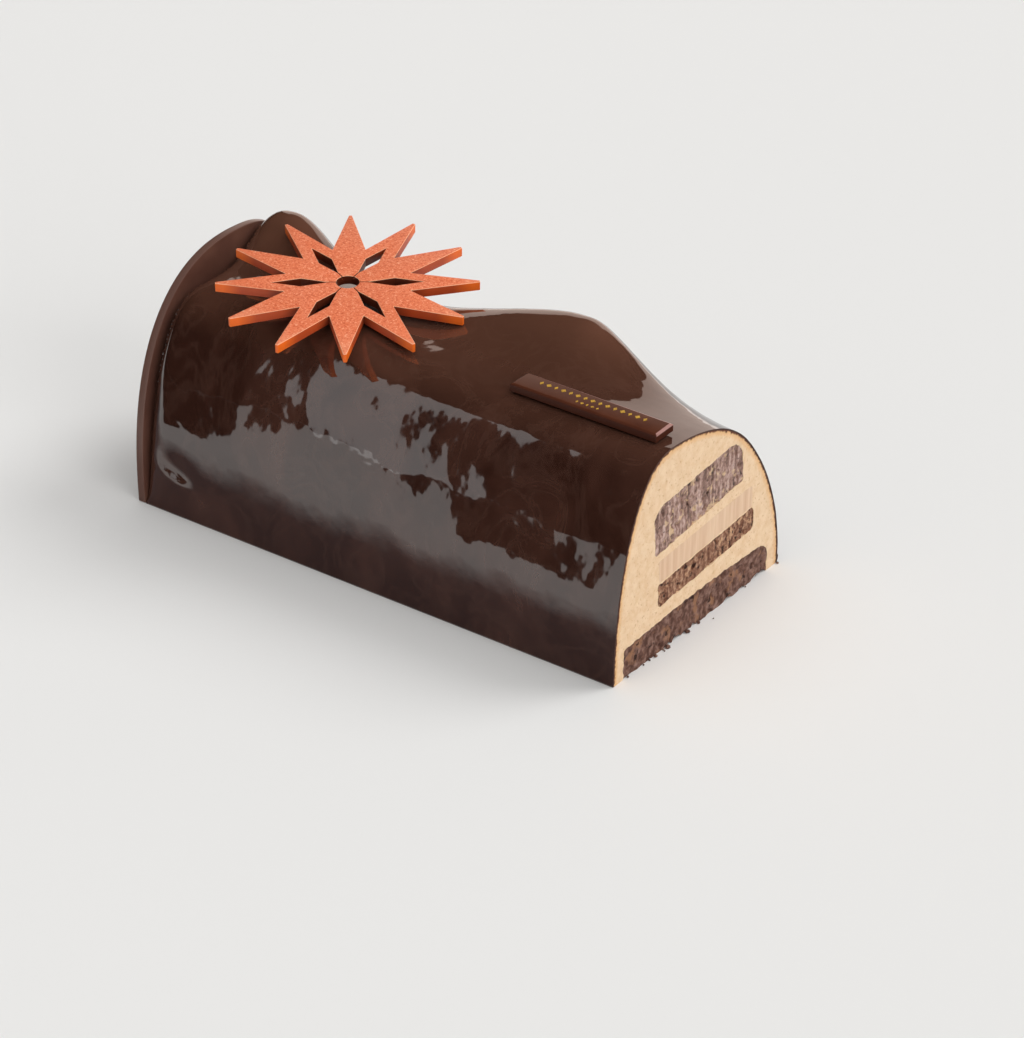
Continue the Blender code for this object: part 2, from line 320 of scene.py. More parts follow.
def hash_noise(*values: float) -> float:
    """Gives a repeatable number from 0 to 1 for some numbers."""
    mixed = math.sin(sum(v * k for v, k in zip(values, HASH_WEIGHTS))) * HASH_SCALE
    return mixed - math.floor(mixed)


def wave(place: Vector, size: float, shift: float = 0.0) -> float:
    """Gives smooth noise from -1 to 1, with swells about size metres wide."""
    return noise.noise(place / size + Vector((shift, -shift, shift * 0.5)))


# The log's form


@dataclass(frozen=True)
class Swell:
    """A rounded rise of the log's top, with its own reach on each of its four sides."""

    from_cut: float
    y: float
    rise: float
    reach_to_disc: float
    reach_to_cut: float
    reach_to_front: float
    reach_to_rear: float
    roundness: float


@dataclass(frozen=True)
class LogForm:
    """The glazed log's outer form: an arch with two rear waves, curled in at the disc."""

    cut_x: float
    end_x: float
    half_width: float
    arch_height: float = 0.0664
    peak_y: float = -0.01665
    front_fullness: float = 2.35
    rear_fullness: float = 2.0
    ridge_slope: float = 0.015
    end_rounding: float = 0.009
    end_shrink_across: float = 0.20
    end_shrink_up: float = 0.12
    fold_from_end: float = 15 * MM
    fold_height: float = 17 * MM
    fold_reach: tuple[float, float] = (7.5 * MM, 4.0 * MM)
    fold_lip: float = 0.65 * MM
    fold_dimple: float = 0.80 * MM
    core_gap: float = 0.45 * MM
    core_run: float = 3 * MM
    swells: tuple[Swell, ...] = (
        Swell(0.0537, 0.0203, 0.0261, 0.0317, 0.0143, 0.0180, 0.0113, 1.25),
        Swell(0.1733, 0.0248, 0.0307, 0.0275, 0.0138, 0.0181, 0.0225, 1.34),
        Swell(0.1305, -0.0045, 0.0048, 0.0158, 0.0158, 0.0203, 0.0203, 2.0),
    )

    def swell_height(self, x: float, y: float) -> float:
        """Gives how far the waves lift the log's top over a point of the floor plan."""
        from_cut = self.cut_x - x
        lift = self.ridge_slope * from_cut
        for swell in self.swells:
            along, across = from_cut - swell.from_cut, y - swell.y
            reach_along = swell.reach_to_disc if along > 0.0 else swell.reach_to_cut
            reach_across = swell.reach_to_rear if across > 0.0 else swell.reach_to_front
            spread = math.hypot(swell.roundness, along / reach_along)
            fall = swell.roundness - spread - (across / reach_across) ** 2
            lift += swell.rise * math.exp(fall)
        return lift

    def skin_point(self, x: float, angle: float, inset: float = 0.0, lift: float = 0.0) -> Vector:
        """Gives a point of the log's skin.

        Args:
            x: the station along the log.
            angle: 0 at the front foot and pi at the rear foot.
            inset: how far inside the outer skin the point lies.
            lift: the height of the feet over the floor.

        Returns:
            The point.
        """
        half_width = self.half_width - inset
        across, up = math.cos(angle), max(math.sin(angle), 0.0)
        if across > 0.0:
            y = self.peak_y - (half_width + self.peak_y) * across ** (2.0 / self.front_fullness)
        else:
            y = self.peak_y + (half_width - self.peak_y) * abs(across) ** (2.0 / self.rear_fullness)
        near_end = min(max(1.0 - (x - self.end_x - inset) / self.end_rounding, 0.0), 1.0)
        shrink = (1.0 - math.sqrt(1.0 - near_end ** 2)) * math.sqrt(up)
        rise = (self.arch_height - inset - lift) * up + self.swell_height(x, y) * math.sqrt(up)
        across_share = 1.0 - self.end_shrink_across * shrink
        return Vector((x, y * across_share, lift + rise * (1.0 - self.end_shrink_up * shrink)))

    def fold(self, place: Vector) -> float:
        """Gives how far the pinched fold, low on the front close to the disc, stands out."""
        if place.y > 0.0:
            return 0.0
        along = (place.x - self.end_x - self.fold_from_end) / self.fold_reach[0]
        up = (place.z - self.fold_height) / self.fold_reach[1] + 0.3 * along
        away = math.hypot(along, up)
        below = max(-0.7 * along - 0.7 * up, 0.0) / max(away, 0.1)
        lip = math.exp(-((away - 1.3) / 0.4) ** 2) * below
        return self.fold_lip * lip - self.fold_dimple * math.exp(-away ** 2)

    def core_point(self, x: float, angle: float, inset: float) -> Vector:
        """Gives a point of the mousse under the glaze, which stays clear of the fold and ripples."""
        away = min((self.cut_x - x) / self.core_run, 1.0)
        deeper = inset + self.core_gap * away
        dent = min(self.fold(self.skin_point(x, angle, deeper)), 0.0)
        return self.skin_point(x, angle, deeper - dent)

    def skin_height(self, x: float, y: float) -> float:
        """Gives the height of the glaze over a point of the floor plan, clear of the ends."""
        if y < self.peak_y:
            share, power = (self.peak_y - y) / (self.half_width + self.peak_y), self.front_fullness
        else:
            share, power = (y - self.peak_y) / (self.half_width - self.peak_y), self.rear_fullness
        up = math.sqrt(max(1.0 - min(share, 1.0) ** power, 0.0))
        return self.arch_height * up + self.swell_height(x, y) * math.sqrt(up)


# Outlines on the cut face, as (y, z) points


def corner_arc(corner: Vector, before: Vector, after: Vector, radius: float) -> list[Vector]:
    """Rounds one corner of an outline, between the directions to its neighbours."""
    steps = 6
    to_before, to_after = (before - corner).normalized(), (after - corner).normalized()
    half_angle = to_before.angle(to_after) / 2
    centre = corner + (to_before + to_after).normalized() * (radius / math.sin(half_angle))
    start = corner + to_before * (radius / math.tan(half_angle)) - centre
    end = corner + to_after * (radius / math.tan(half_angle)) - centre
    return [centre + start.lerp(end, step / steps).normalized() * radius for step in range(steps + 1)]


def resample(line: list[Vector], spacing: float, closed: bool) -> list[Vector]:
    """Spaces the points of an outline evenly.

    Args:
        line: the outline.
        spacing: the distance wanted between points.
        closed: whether the last point joins the first.

    Returns:
        The new points; an open line keeps both of its ends.
    """
    loop = line + line[:1] if closed else line
    points: list[Vector] = []
    for start, end in zip(loop, loop[1:]):
        steps = max(round((end - start).length / spacing), 1)
        points += [start.lerp(end, step / steps) for step in range(steps)]
    return points if closed else points + [line[-1]]


def roughen(line: list[Vector], size: float, amount: float, shift: float, closed: bool) -> list[Vector]:
    """Makes an outline uneven, as a crumbly or torn edge is.

    Args:
        line: the outline, evenly spaced.
        size: the width of its bumps, in metres.
        amount: the height of its bumps, in metres.
        shift: picks another run of the noise.
        closed: whether the last point joins the first; an open line's ends stay put.

    Returns:
        The new points.
    """
    count = len(line)
    rough = []
    for index, point in enumerate(line):
        before = line[index - 1] if closed else line[max(index - 1, 0)]
        after = line[(index + 1) % count] if closed else line[min(index + 1, count - 1)]
        along = (after - before).normalized()
        place = Vector((point.x, point.y, 0.0))
        push = wave(place, size, shift) + 0.5 * wave(place, size / 2.7, shift + 5.0)
        fade = 1.0 if closed else min(index, count - 1 - index, 4) / 4
        rough.append(point + Vector((-along.y, along.x)) * (push * amount * fade))
    return rough


@dataclass(frozen=True)
class Slab:
    """A layer inside the log: y is across and z is up."""

    middle_y: float
    middle_z: float
    width: float
    thickness: float
    tilt_degrees: float
    top_front_radius: float
    top_rear_radius: float
    bottom_radius: float

    def outline(self) -> list[Vector]:
        """Gives the layer's outline with its rounded corners."""
        tilt = math.radians(self.tilt_degrees)
        along = Vector((math.cos(tilt), math.sin(tilt)))
        middle = Vector((self.middle_y, self.middle_z))
        reach = along * (self.width / 2)
        rise = Vector((-along.y, along.x)) * (self.thickness / 2)
        corners = (middle - reach - rise, middle + reach - rise,
                   middle + reach + rise, middle - reach + rise)
        radii = (self.bottom_radius, self.bottom_radius, self.top_rear_radius, self.top_front_radius)
        outline: list[Vector] = []
        for index, radius in enumerate(radii):
            outline += corner_arc(corners[index], corners[index - 1], corners[(index + 1) % 4], radius)
        return outline


def as_array(line: list[Vector]) -> np.ndarray:
    """Turns (y, z) points to an array of two columns."""
    return np.array([(point.x, point.y) for point in line])


def inside(points: np.ndarray, loop: np.ndarray) -> np.ndarray:
    """Says which points lie inside a closed loop, by the even-odd rule."""
    odd = np.zeros(len(points), bool)
    for (ya, za), (yb, zb) in zip(loop, np.roll(loop, -1, axis=0)):
        if za == zb:
            continue
        spans = (points[:, 1] < za) != (points[:, 1] < zb)
        odd ^= spans & (points[:, 0] < (yb - ya) * (points[:, 1] - za) / (zb - za) + ya)
    return odd


def distance_to(points: np.ndarray, line: np.ndarray) -> np.ndarray:
    """Gives each point's distance to the nearest point of a finely spaced line."""
    nearest = np.full(len(points), np.inf)
    for place in line:
        nearest = np.minimum(nearest, np.hypot(points[:, 0] - place[0], points[:, 1] - place[1]))
    return nearest


@dataclass
class CutPatch:
    """A finely meshed flat area of the cut face, bounded by an outline and by holes."""

    outline: list[Vector]
    holes: list[list[Vector]]
    spacing: float

    def build(self) -> tuple[list[Vector], list[tuple[int, ...]]]:
        """Meshes the area.

        Returns:
            The (y, z) points, which start with the outline's and then each hole's in order,
            and the triangles.
        """
        loops = [self.outline, *self.holes]
        points = [point for loop in loops for point in loop]
        edges, first = [], 0
        for loop in loops:
            edges += [(first + step, first + (step + 1) % len(loop)) for step in range(len(loop))]
            first += len(loop)
        border = as_array(points)
        low, high = border.min(0), border.max(0)
        rows = int((high[1] - low[1]) / (self.spacing * 0.87)) + 1
        columns = int((high[0] - low[0]) / self.spacing) + 1
        grid = []
        for row in range(rows):
            for column in range(columns):
                sway = hash_noise(row, column) - 0.5, hash_noise(column, row, 3.0) - 0.5
                y = low[0] + (column + 0.5 * (row % 2) + 0.3 * sway[0]) * self.spacing
                grid.append((y, low[1] + (row + 0.3 * sway[1]) * self.spacing * 0.87))
        inner = np.array(grid)
        keep = inside(inner, as_array(self.outline))
        for hole in self.holes:
            keep &= ~inside(inner, as_array(hole))
        inner = inner[keep]
        inner = inner[distance_to(inner, border) > self.spacing * 0.55]
        places = points + [Vector(pair) for pair in inner]
        found, _, faces, origins, _, _ = delaunay_2d_cdt(places, edges, [], 0, 1e-9)
        number = {origin[0]: index for index, origin in enumerate(origins) if origin}
        middles = np.array([np.mean([found[v] for v in face], axis=0) for face in faces])
        keep = inside(middles, as_array(self.outline))
        for hole in self.holes:
            keep &= ~inside(middles, as_array(hole))
        back = {index: origin for origin, index in number.items()}
        triangles = [tuple(back[v] for v in face) for face, kept in zip(faces, keep) if kept]
        return places, triangles


def sweep_back(name: str, patch: CutPatch, depth: Callable[[float, float], float], cut_x: float,
               rings: list[list[list[Vector]]]) -> bpy.types.Object:
    """Builds a solid whose front is a patch of the cut face.

    Args:
        name: the object's name.
        patch: the front.
        depth: how far the front lies behind the cut plane at a (y, z) point.
        cut_x: the cut plane.
        rings: for each loop of the patch, the rows of points behind it, from the cut inwards.

    Returns:
        The solid.
    """
    flat, triangles = patch.build()
    points = [Vector((cut_x - depth(place.x, place.y), place.x, place.y)) for place in flat]
    faces: list[tuple[int, ...]] = list(triangles)
    first = 0
    for loop, rows in zip([patch.outline, *patch.holes], rings):
        size = len(loop)
        previous = list(range(first, first + size))
        for row in rows:
            current = list(range(len(points), len(points) + size))
            points += row
            for step in range(size):
                following = (step + 1) % size
                faces.append((previous[step], previous[following], current[following], current[step]))
            previous = current
        faces.append(tuple(previous))
        first += size
    return mesh_object(name, points, faces)


# Finishes


@dataclass(frozen=True)
class Finish:
    """A finish's plain part: its name, roughness, refraction and depth of light in it."""

    name: str
    roughness: float
    ior: float = 1.45
    glow: float = 0.0
    glow_mm: float = 1.0

    def make(self) -> bpy.types.Material:
        """Makes the material from its plain part and from what the finish paints."""
        material = bpy.data.materials.new(self.name)
        material.use_nodes = True
        tree = material.node_tree
        shader = tree.nodes["Principled BSDF"]
        plain = {"Roughness": self.roughness, "IOR": self.ior, "Subsurface Weight": self.glow,
                 "Subsurface Radius": WARM_GLOW, "Subsurface Scale": self.glow_mm * MM}
        for key, value in plain.items():
            shader.inputs[key].default_value = value
        place = add_node(tree, "TexCoord").outputs["Object"]
        colour, normal = self.paint(tree, shader, place)
        tree.links.new(socket_of(colour), shader.inputs["Base Color"])
        if normal is not None:
            tree.links.new(socket_of(normal), shader.inputs["Normal"])
        return material

    def paint(self, tree: Any, shader: Any, place: Any) -> tuple[Any, Any]:
        """Adds the finish's own nodes.

        Args:
            tree: the material's node tree.
            shader: its shader.
            place: its Object coordinates.

        Returns:
            The nodes of its colour and of its normal, which a smooth finish lacks.
        """
        raise NotImplementedError


@dataclass(frozen=True)
class MirrorGlaze(Finish):
    """Poured cocoa mirror glaze: near-black brown, wet gloss, thin wisps and faint ripples.

    Its crests, high on the log, are painted warmer and paler as a painted sheen, and its cut edge is
    matt.
    """

    dark: str = "#361f18"
    warm: str = "#4b2f26"
    wisp: str = "#5f443a"
    # Painted sheen colour of the crests.
    crest_sheen_tone: str = "#664334"
    cloud_mm: float = 22.0
    vein_mm: float = 16.0
    peel_mm: float = 4.5
    peel_depth_mm: float = 0.06

    def paint(self, tree: Any, shader: Any, place: Any) -> tuple[Any, Any]:
        """Adds clouds and wisps that flow down, the painted sheen on the crests, the dull cut and the
        ripples.
        """
        flow = add_node(tree, "Mapping", {"Scale": (1.0, 1.0, 0.6)}, {"Vector": place})
        cloud = add_node(tree, "TexNoise",
                         {"Scale": per_mm(self.cloud_mm), "Detail": 3.0, "Distortion": 0.8},
                         {"Vector": flow})
        tone = add_node(tree, "ValToRGB", {"stops": ((0.42, self.dark), (0.72, self.warm))},
                        {"Fac": cloud})
        veins = add_node(tree, "TexNoise",
                         {"Scale": per_mm(self.vein_mm), "Detail": 4.0, "Roughness": 0.6,
                          "Distortion": 1.6},
                         {"Vector": flow})
        centred = add_node(tree, "Math", {"operation": "SUBTRACT", 1: 0.5}, {0: veins})
        ridge = add_node(tree, "Math", {"operation": "ABSOLUTE"}, {0: centred})
        thin = add_node(tree, "MapRange", {"range": (0.0, 0.05, 0.22, 0.0)}, {"Value": ridge})
        wisps = add_node(tree, "Mix", {"data_type": "RGBA", 7: srgb(self.wisp)}, {0: thin, 6: tone})
        # Painted sheen: the glaze turns paler with height towards the crests.
        height = add_node(tree, "SeparateXYZ", None, {0: place})
        crest_sheen = add_node(tree, "MapRange", {"range": (0.060, 0.078, 0.0, 0.85)},
                           {"Value": height.outputs["Z"]})
        colour = add_node(tree, "Mix", {"data_type": "RGBA", 7: srgb(self.crest_sheen_tone)},
                          {0: crest_sheen, 6: wisps})
        facing = add_node(tree, "SeparateXYZ", None,
                          {0: add_node(tree, "TexCoord").outputs["Normal"]})
        dull = add_node(tree, "MapRange", {"range": (0.70, 0.95, self.roughness, 1.0)},
                        {"Value": facing.outputs["X"]})
        tree.links.new(socket_of(dull), shader.inputs["Roughness"])
        peel = add_node(tree, "TexNoise", {"Scale": per_mm(self.peel_mm), "Detail": 1.0},
                        {"Vector": place})
        bump = add_node(tree, "Bump", {"Strength": 1.0, "Distance": self.peel_depth_mm * MM},
                        {"Height": peel})
        return colour, bump


@dataclass(frozen=True)
class Mousse(Finish):
    """Set coffee-caramel mousse: matt cream with pin-holes darkened by painted shade, browned where the
    glaze soaks in.
    """

    pale: str = "#e5c8a6"
    deep: str = "#dab892"
    pore_shade: str = "#b98e63"
    tan: str = "#dba568"
    soaked: str = "#5a2c16"
    mottle_mm: float = 3.0
    pore_mm: float = 0.9
    fray_mm: float = 1.2

    def paint(self, tree: Any, shader: Any, place: Any) -> tuple[Any, Any]:
        """Adds mottles, and pores with painted shade in them, and two browns by the mesh's noted
        distance to the glaze.
        """
        mottle = add_node(tree, "TexNoise",
                          {"Scale": per_mm(self.mottle_mm), "Detail": 6.0, "Roughness": 0.7},
                          {"Vector": place})
        body = add_node(tree, "ValToRGB", {"stops": ((0.35, self.deep), (0.62, self.pale))},
                        {"Fac": mottle})
        holes = add_node(tree, "TexNoise", {"Scale": per_mm(self.pore_mm), "Detail": 1.0},
                         {"Vector": place})
        pits = add_node(tree, "MapRange", {"range": (0.27, 0.36, 0.5, 0.0)}, {"Value": holes})
        # Painted shade: the pin-holes are coloured darker.
        colour = add_node(tree, "Mix", {"data_type": "RGBA", 7: srgb(self.pore_shade)},
                          {0: pits, 6: body})
        rim = add_node(tree, "Attribute", {"attribute_name": RIM_NOTE})
        fray = add_node(tree, "TexNoise", {"Scale": per_mm(self.fray_mm), "Detail": 3.0},
                        {"Vector": place})
        ragged = add_node(tree, "Math", {"operation": "MULTIPLY_ADD", 1: -1.6},
                          {0: fray, 2: rim.outputs["Fac"]})
        for tone, full, none, share in ((self.tan, -0.4, 1.6, 0.8), (self.soaked, -0.55, -0.05, 1.0)):
            near = add_node(tree, "MapRange", {"range": (full, none, share, 0.0)},
                            {"Value": ragged})
            colour = add_node(tree, "Mix", {"data_type": "RGBA", 7: srgb(tone)},
                              {0: near, 6: colour})
        bump = add_node(tree, "Bump", {"Strength": 0.6, "Distance": 0.25 * MM}, {"Height": mottle})
        sunk = add_node(tree, "Bump", {"Strength": 0.7, "Distance": 0.2 * MM, "invert": True},
                        {"Height": pits, "Normal": bump})
        return colour, sunk


@dataclass(frozen=True)
class Crumb(Finish):
    """A cut crumbly layer: grains, holes darkened by painted shade, pale flecks and the knife's upright
    streaks.
    """

    dark: str = "#5f4339"
    middle: str = "#8e6d60"
    light: str = "#bfa298"
    # Painted shade colour of the holes.
    hole: str = "#341d16"
    fleck: str = "#d6b68e"
    grain_mm: float = 1.2
    streak: float = 0.5
    hole_share: float = 0.30
    fleck_share: float = 0.34
    relief_mm: float = 0.4

    def paint(self, tree: Any, shader: Any, place: Any) -> tuple[Any, Any]:
        """Adds grains drawn out by the knife, then flecks, and painted shade in the holes, at their own
        places.
        """
        drawn = add_node(tree, "Mapping", {"Scale": (0.3, 1.0, 0.14)}, {"Vector": place})
        lines = add_node(tree, "TexNoise", {"Scale": per_mm(self.grain_mm), "Detail": 3.0},
                         {"Vector": drawn})
        grains = add_node(tree, "TexNoise",
                          {"Scale": per_mm(self.grain_mm * 1.2), "Detail": 4.0, "Roughness": 0.65},
                          {"Vector": place})
        blend = add_node(tree, "Mix", {"data_type": "FLOAT", 0: self.streak}, {2: grains, 3: lines})
        body = add_node(tree, "ValToRGB",
                        {"stops": ((0.40, self.dark), (0.50, self.middle), (0.62, self.light))},
                        {"Fac": blend})
        aside = add_node(tree, "Mapping", {"Location": (0.7, 0.3, 0.1)}, {"Vector": place})
        bits = add_node(tree, "TexNoise",
                        {"Scale": per_mm(self.grain_mm * 2.6), "Detail": 3.0, "Roughness": 0.6},
                        {"Vector": aside})
        above = 1.0 - self.fleck_share
        fleck = add_node(tree, "MapRange", {"range": (above - 0.09, above, 0.0, 0.75)},
                         {"Value": bits})
        flecked = add_node(tree, "Mix", {"data_type": "RGBA", 7: srgb(self.fleck)},
                           {0: fleck, 6: body})
        beside = add_node(tree, "Mapping", {"Location": (0.31, 0.17, 0.53)}, {"Vector": place})
        gaps = add_node(tree, "TexNoise", {"Scale": per_mm(self.grain_mm * 1.7), "Detail": 2.0},
                        {"Vector": beside})
        # Painted shade: the holes are coloured dark.
        hollow = add_node(tree, "MapRange",
                          {"range": (self.hole_share, self.hole_share + 0.07, 0.9, 0.0)},
                          {"Value": gaps})
        colour = add_node(tree, "Mix", {"data_type": "RGBA", 7: srgb(self.hole)},
                          {0: hollow, 6: flecked})
        relief = {"Strength": 0.8, "Distance": self.relief_mm * MM}
        rough = add_node(tree, "Bump", relief, {"Height": blend})
        sunk = add_node(tree, "Bump", {**relief, "invert": True},
                        {"Height": hollow, "Normal": rough})
        return colour, sunk


@dataclass(frozen=True)
class SmearedCaramel(Finish):
    """Soft milk caramel, smeared upright by the knife: pinkish beige with satin streaks."""

    pale: str = "#dcbc9c"
    deep: str = "#cca687"
    streak_mm: float = 1.9
    relief_mm: float = 0.15

    def paint(self, tree: Any, shader: Any, place: Any) -> tuple[Any, Any]:
        """Adds the upright streaks."""
        drawn = add_node(tree, "Mapping", {"Scale": (0.3, 1.0, 0.06)}, {"Vector": place})
        lines = add_node(tree, "TexNoise", {"Scale": per_mm(self.streak_mm), "Detail": 4.0},
                         {"Vector": drawn})
        colour = add_node(tree, "ValToRGB", {"stops": ((0.34, self.deep), (0.66, self.pale))},
                          {"Fac": lines})
        bump = add_node(tree, "Bump", {"Strength": 0.5, "Distance": self.relief_mm * MM},
                        {"Height": lines})
        return colour, bump


@dataclass(frozen=True)
class Chocolate(Finish):
    """Moulded chocolate: satin, with soft bloom clouds, a fine grain and an edge tone on faces turned
    away from its face axis.

    That tone is painted shade where it is darker than the body. A piece may also have a painted
    highlight: pale bevels on the side they are lit from.
    """

    body: str = "#412a24"
    bloom: str = "#50362d"
    edge: str = "#7a5546"
    cloud_mm: float = 9.0
    grain_mm: float = 0.45
    grain_depth_mm: float = 0.02
    face_axis: str = "X"
    lit: str = ""
    lit_from: tuple[float, float, float] = (0.60, 0.50, 0.62)

    def paint(self, tree: Any, shader: Any, place: Any) -> tuple[Any, Any]:
        """Adds the clouds, and the edge tones on faces turned away from the face axis."""
        cloud = add_node(tree, "TexNoise", {"Scale": per_mm(self.cloud_mm), "Detail": 5.0},
                         {"Vector": place})
        body = add_node(tree, "ValToRGB", {"stops": ((0.35, self.body), (0.68, self.bloom))},
                        {"Fac": cloud})
        normal = add_node(tree, "TexCoord").outputs["Normal"]
        facing = add_node(tree, "SeparateXYZ", None, {0: normal})
        straight = add_node(tree, "Math", {"operation": "ABSOLUTE"},
                            {0: facing.outputs[self.face_axis]})
        # Faces turned away from the face axis take the edge tone: painted shade on the bar's sides, a
        # lighter tone on the disc's rim.
        turned_aside = add_node(tree, "MapRange", {"range": (0.80, 0.95, 0.8, 0.0)}, {"Value": straight})
        colour = add_node(tree, "Mix", {"data_type": "RGBA", 7: srgb(self.edge)},
                          {0: turned_aside, 6: body})
        # Painted highlight: pale bevels that face the lit side.
        if self.lit:
            toward = add_node(tree, "VectorMath", {"operation": "DOT_PRODUCT", 1: self.lit_from},
                              {0: normal})
            shown = add_node(tree, "MapRange", {"range": (0.70, 0.76, 0.0, 0.8)}, {"Value": toward})
            colour = add_node(tree, "Mix", {"data_type": "RGBA", 7: srgb(self.lit)},
                              {0: shown, 6: colour})
        grain = add_node(tree, "TexNoise", {"Scale": per_mm(self.grain_mm), "Detail": 2.0},
                         {"Vector": place})
        bump = add_node(tree, "Bump", {"Strength": 1.0, "Distance": self.grain_depth_mm * MM},
                        {"Height": grain})
        return colour, bump


@dataclass(frozen=True)
class OrangeChocolate(Finish):
    """Orange-coloured white chocolate: coral top with a coarse speckle and pale painted highlights on
    its upper bevels.

    Its sides carry painted shade: darkest round the middle, where little light comes, lighter and clear
    orange towards the tips.
    """

    top: str = "#ea7b4f"
    speck: str = "#cf5224"
    glint: str = "#ffbb96"
    # Painted shade of the sides, from the middle out to the tips.
    wall: str = "#5c2614"
    side: str = "#b84a22"
    tip: str = "#f06c1e"
    # Painted highlight colour of the upper bevels.
    rim: str = "#ffc8a2"
    speckle_mm: float = 0.8
    speckle_depth_mm: float = 0.08
    centre: tuple[float, float, float] = (0.0, 0.0, 0.0)
    reach: float = 0.0411

    def paint(self, tree: Any, shader: Any, place: Any) -> tuple[Any, Any]:
        """Adds the speckle, the painted highlight on the upper bevels and the painted shade of the
        sides, by which way a face looks.
        """
        dust = add_node(tree, "TexNoise",
                        {"Scale": per_mm(self.speckle_mm), "Detail": 3.0, "Roughness": 0.8},
                        {"Vector": place})
        tops = (0.36, self.speck), (0.48, self.top), (0.58, self.top), (0.66, self.glint)
        top = add_node(tree, "ValToRGB", {"stops": tops}, {"Fac": dust})
        facing = add_node(tree, "SeparateXYZ", None,
                          {0: add_node(tree, "TexCoord").outputs["Normal"]})
        aside = add_node(tree, "MapRange", {"range": (0.30, 0.55, 1.0, 0.0)},
                         {"Value": facing.outputs["Z"]})
        # Painted highlight: pale colour on bevels that face partly upwards.
        lit = add_node(tree, "MapRange", {"range": (0.86, 0.975, 0.9, 0.0)},
                       {"Value": facing.outputs["Z"]})
        highlighted_top = add_node(tree, "Mix", {"data_type": "RGBA", 7: srgb(self.rim)}, {0: lit, 6: top})
        # Painted shade on the sides: darkest near the middle, lighter towards the tips.
        away = add_node(tree, "VectorMath", {"operation": "DISTANCE", 1: self.centre}, {0: place})
        share = add_node(tree, "MapRange", {"range": (0.0, self.reach, 0.0, 1.0)}, {"Value": away})
        walls = (0.45, self.wall), (0.62, self.side), (0.80, self.side), (0.94, self.tip)
        wall = add_node(tree, "ValToRGB", {"stops": walls}, {"Fac": share})
        colour = add_node(tree, "Mix", {"data_type": "RGBA"}, {0: aside, 6: highlighted_top, 7: wall})
        bump = add_node(tree, "Bump", {"Strength": 0.8, "Distance": self.speckle_depth_mm * MM},
                        {"Height": dust})
        return colour, bump


@dataclass(frozen=True)
class GoldPrint(Finish):
    """Edible gold powder print: warm yellow, half metallic, slightly broken."""

    bright: str = "#e8b93c"
    dull: str = "#9c6a1c"
    powder_mm: float = 0.3
    metallic: float = 0.4

    def paint(self, tree: Any, shader: Any, place: Any) -> tuple[Any, Any]:
        """Adds the powder's two tones."""
        shader.inputs["Metallic"].default_value = self.metallic
        powder = add_node(tree, "TexNoise", {"Scale": per_mm(self.powder_mm), "Detail": 2.0},
                          {"Vector": place})
        colour = add_node(tree, "ValToRGB", {"stops": ((0.35, self.dull), (0.55, self.bright))},
                          {"Fac": powder})
        return colour, None


# The sub-assemblies


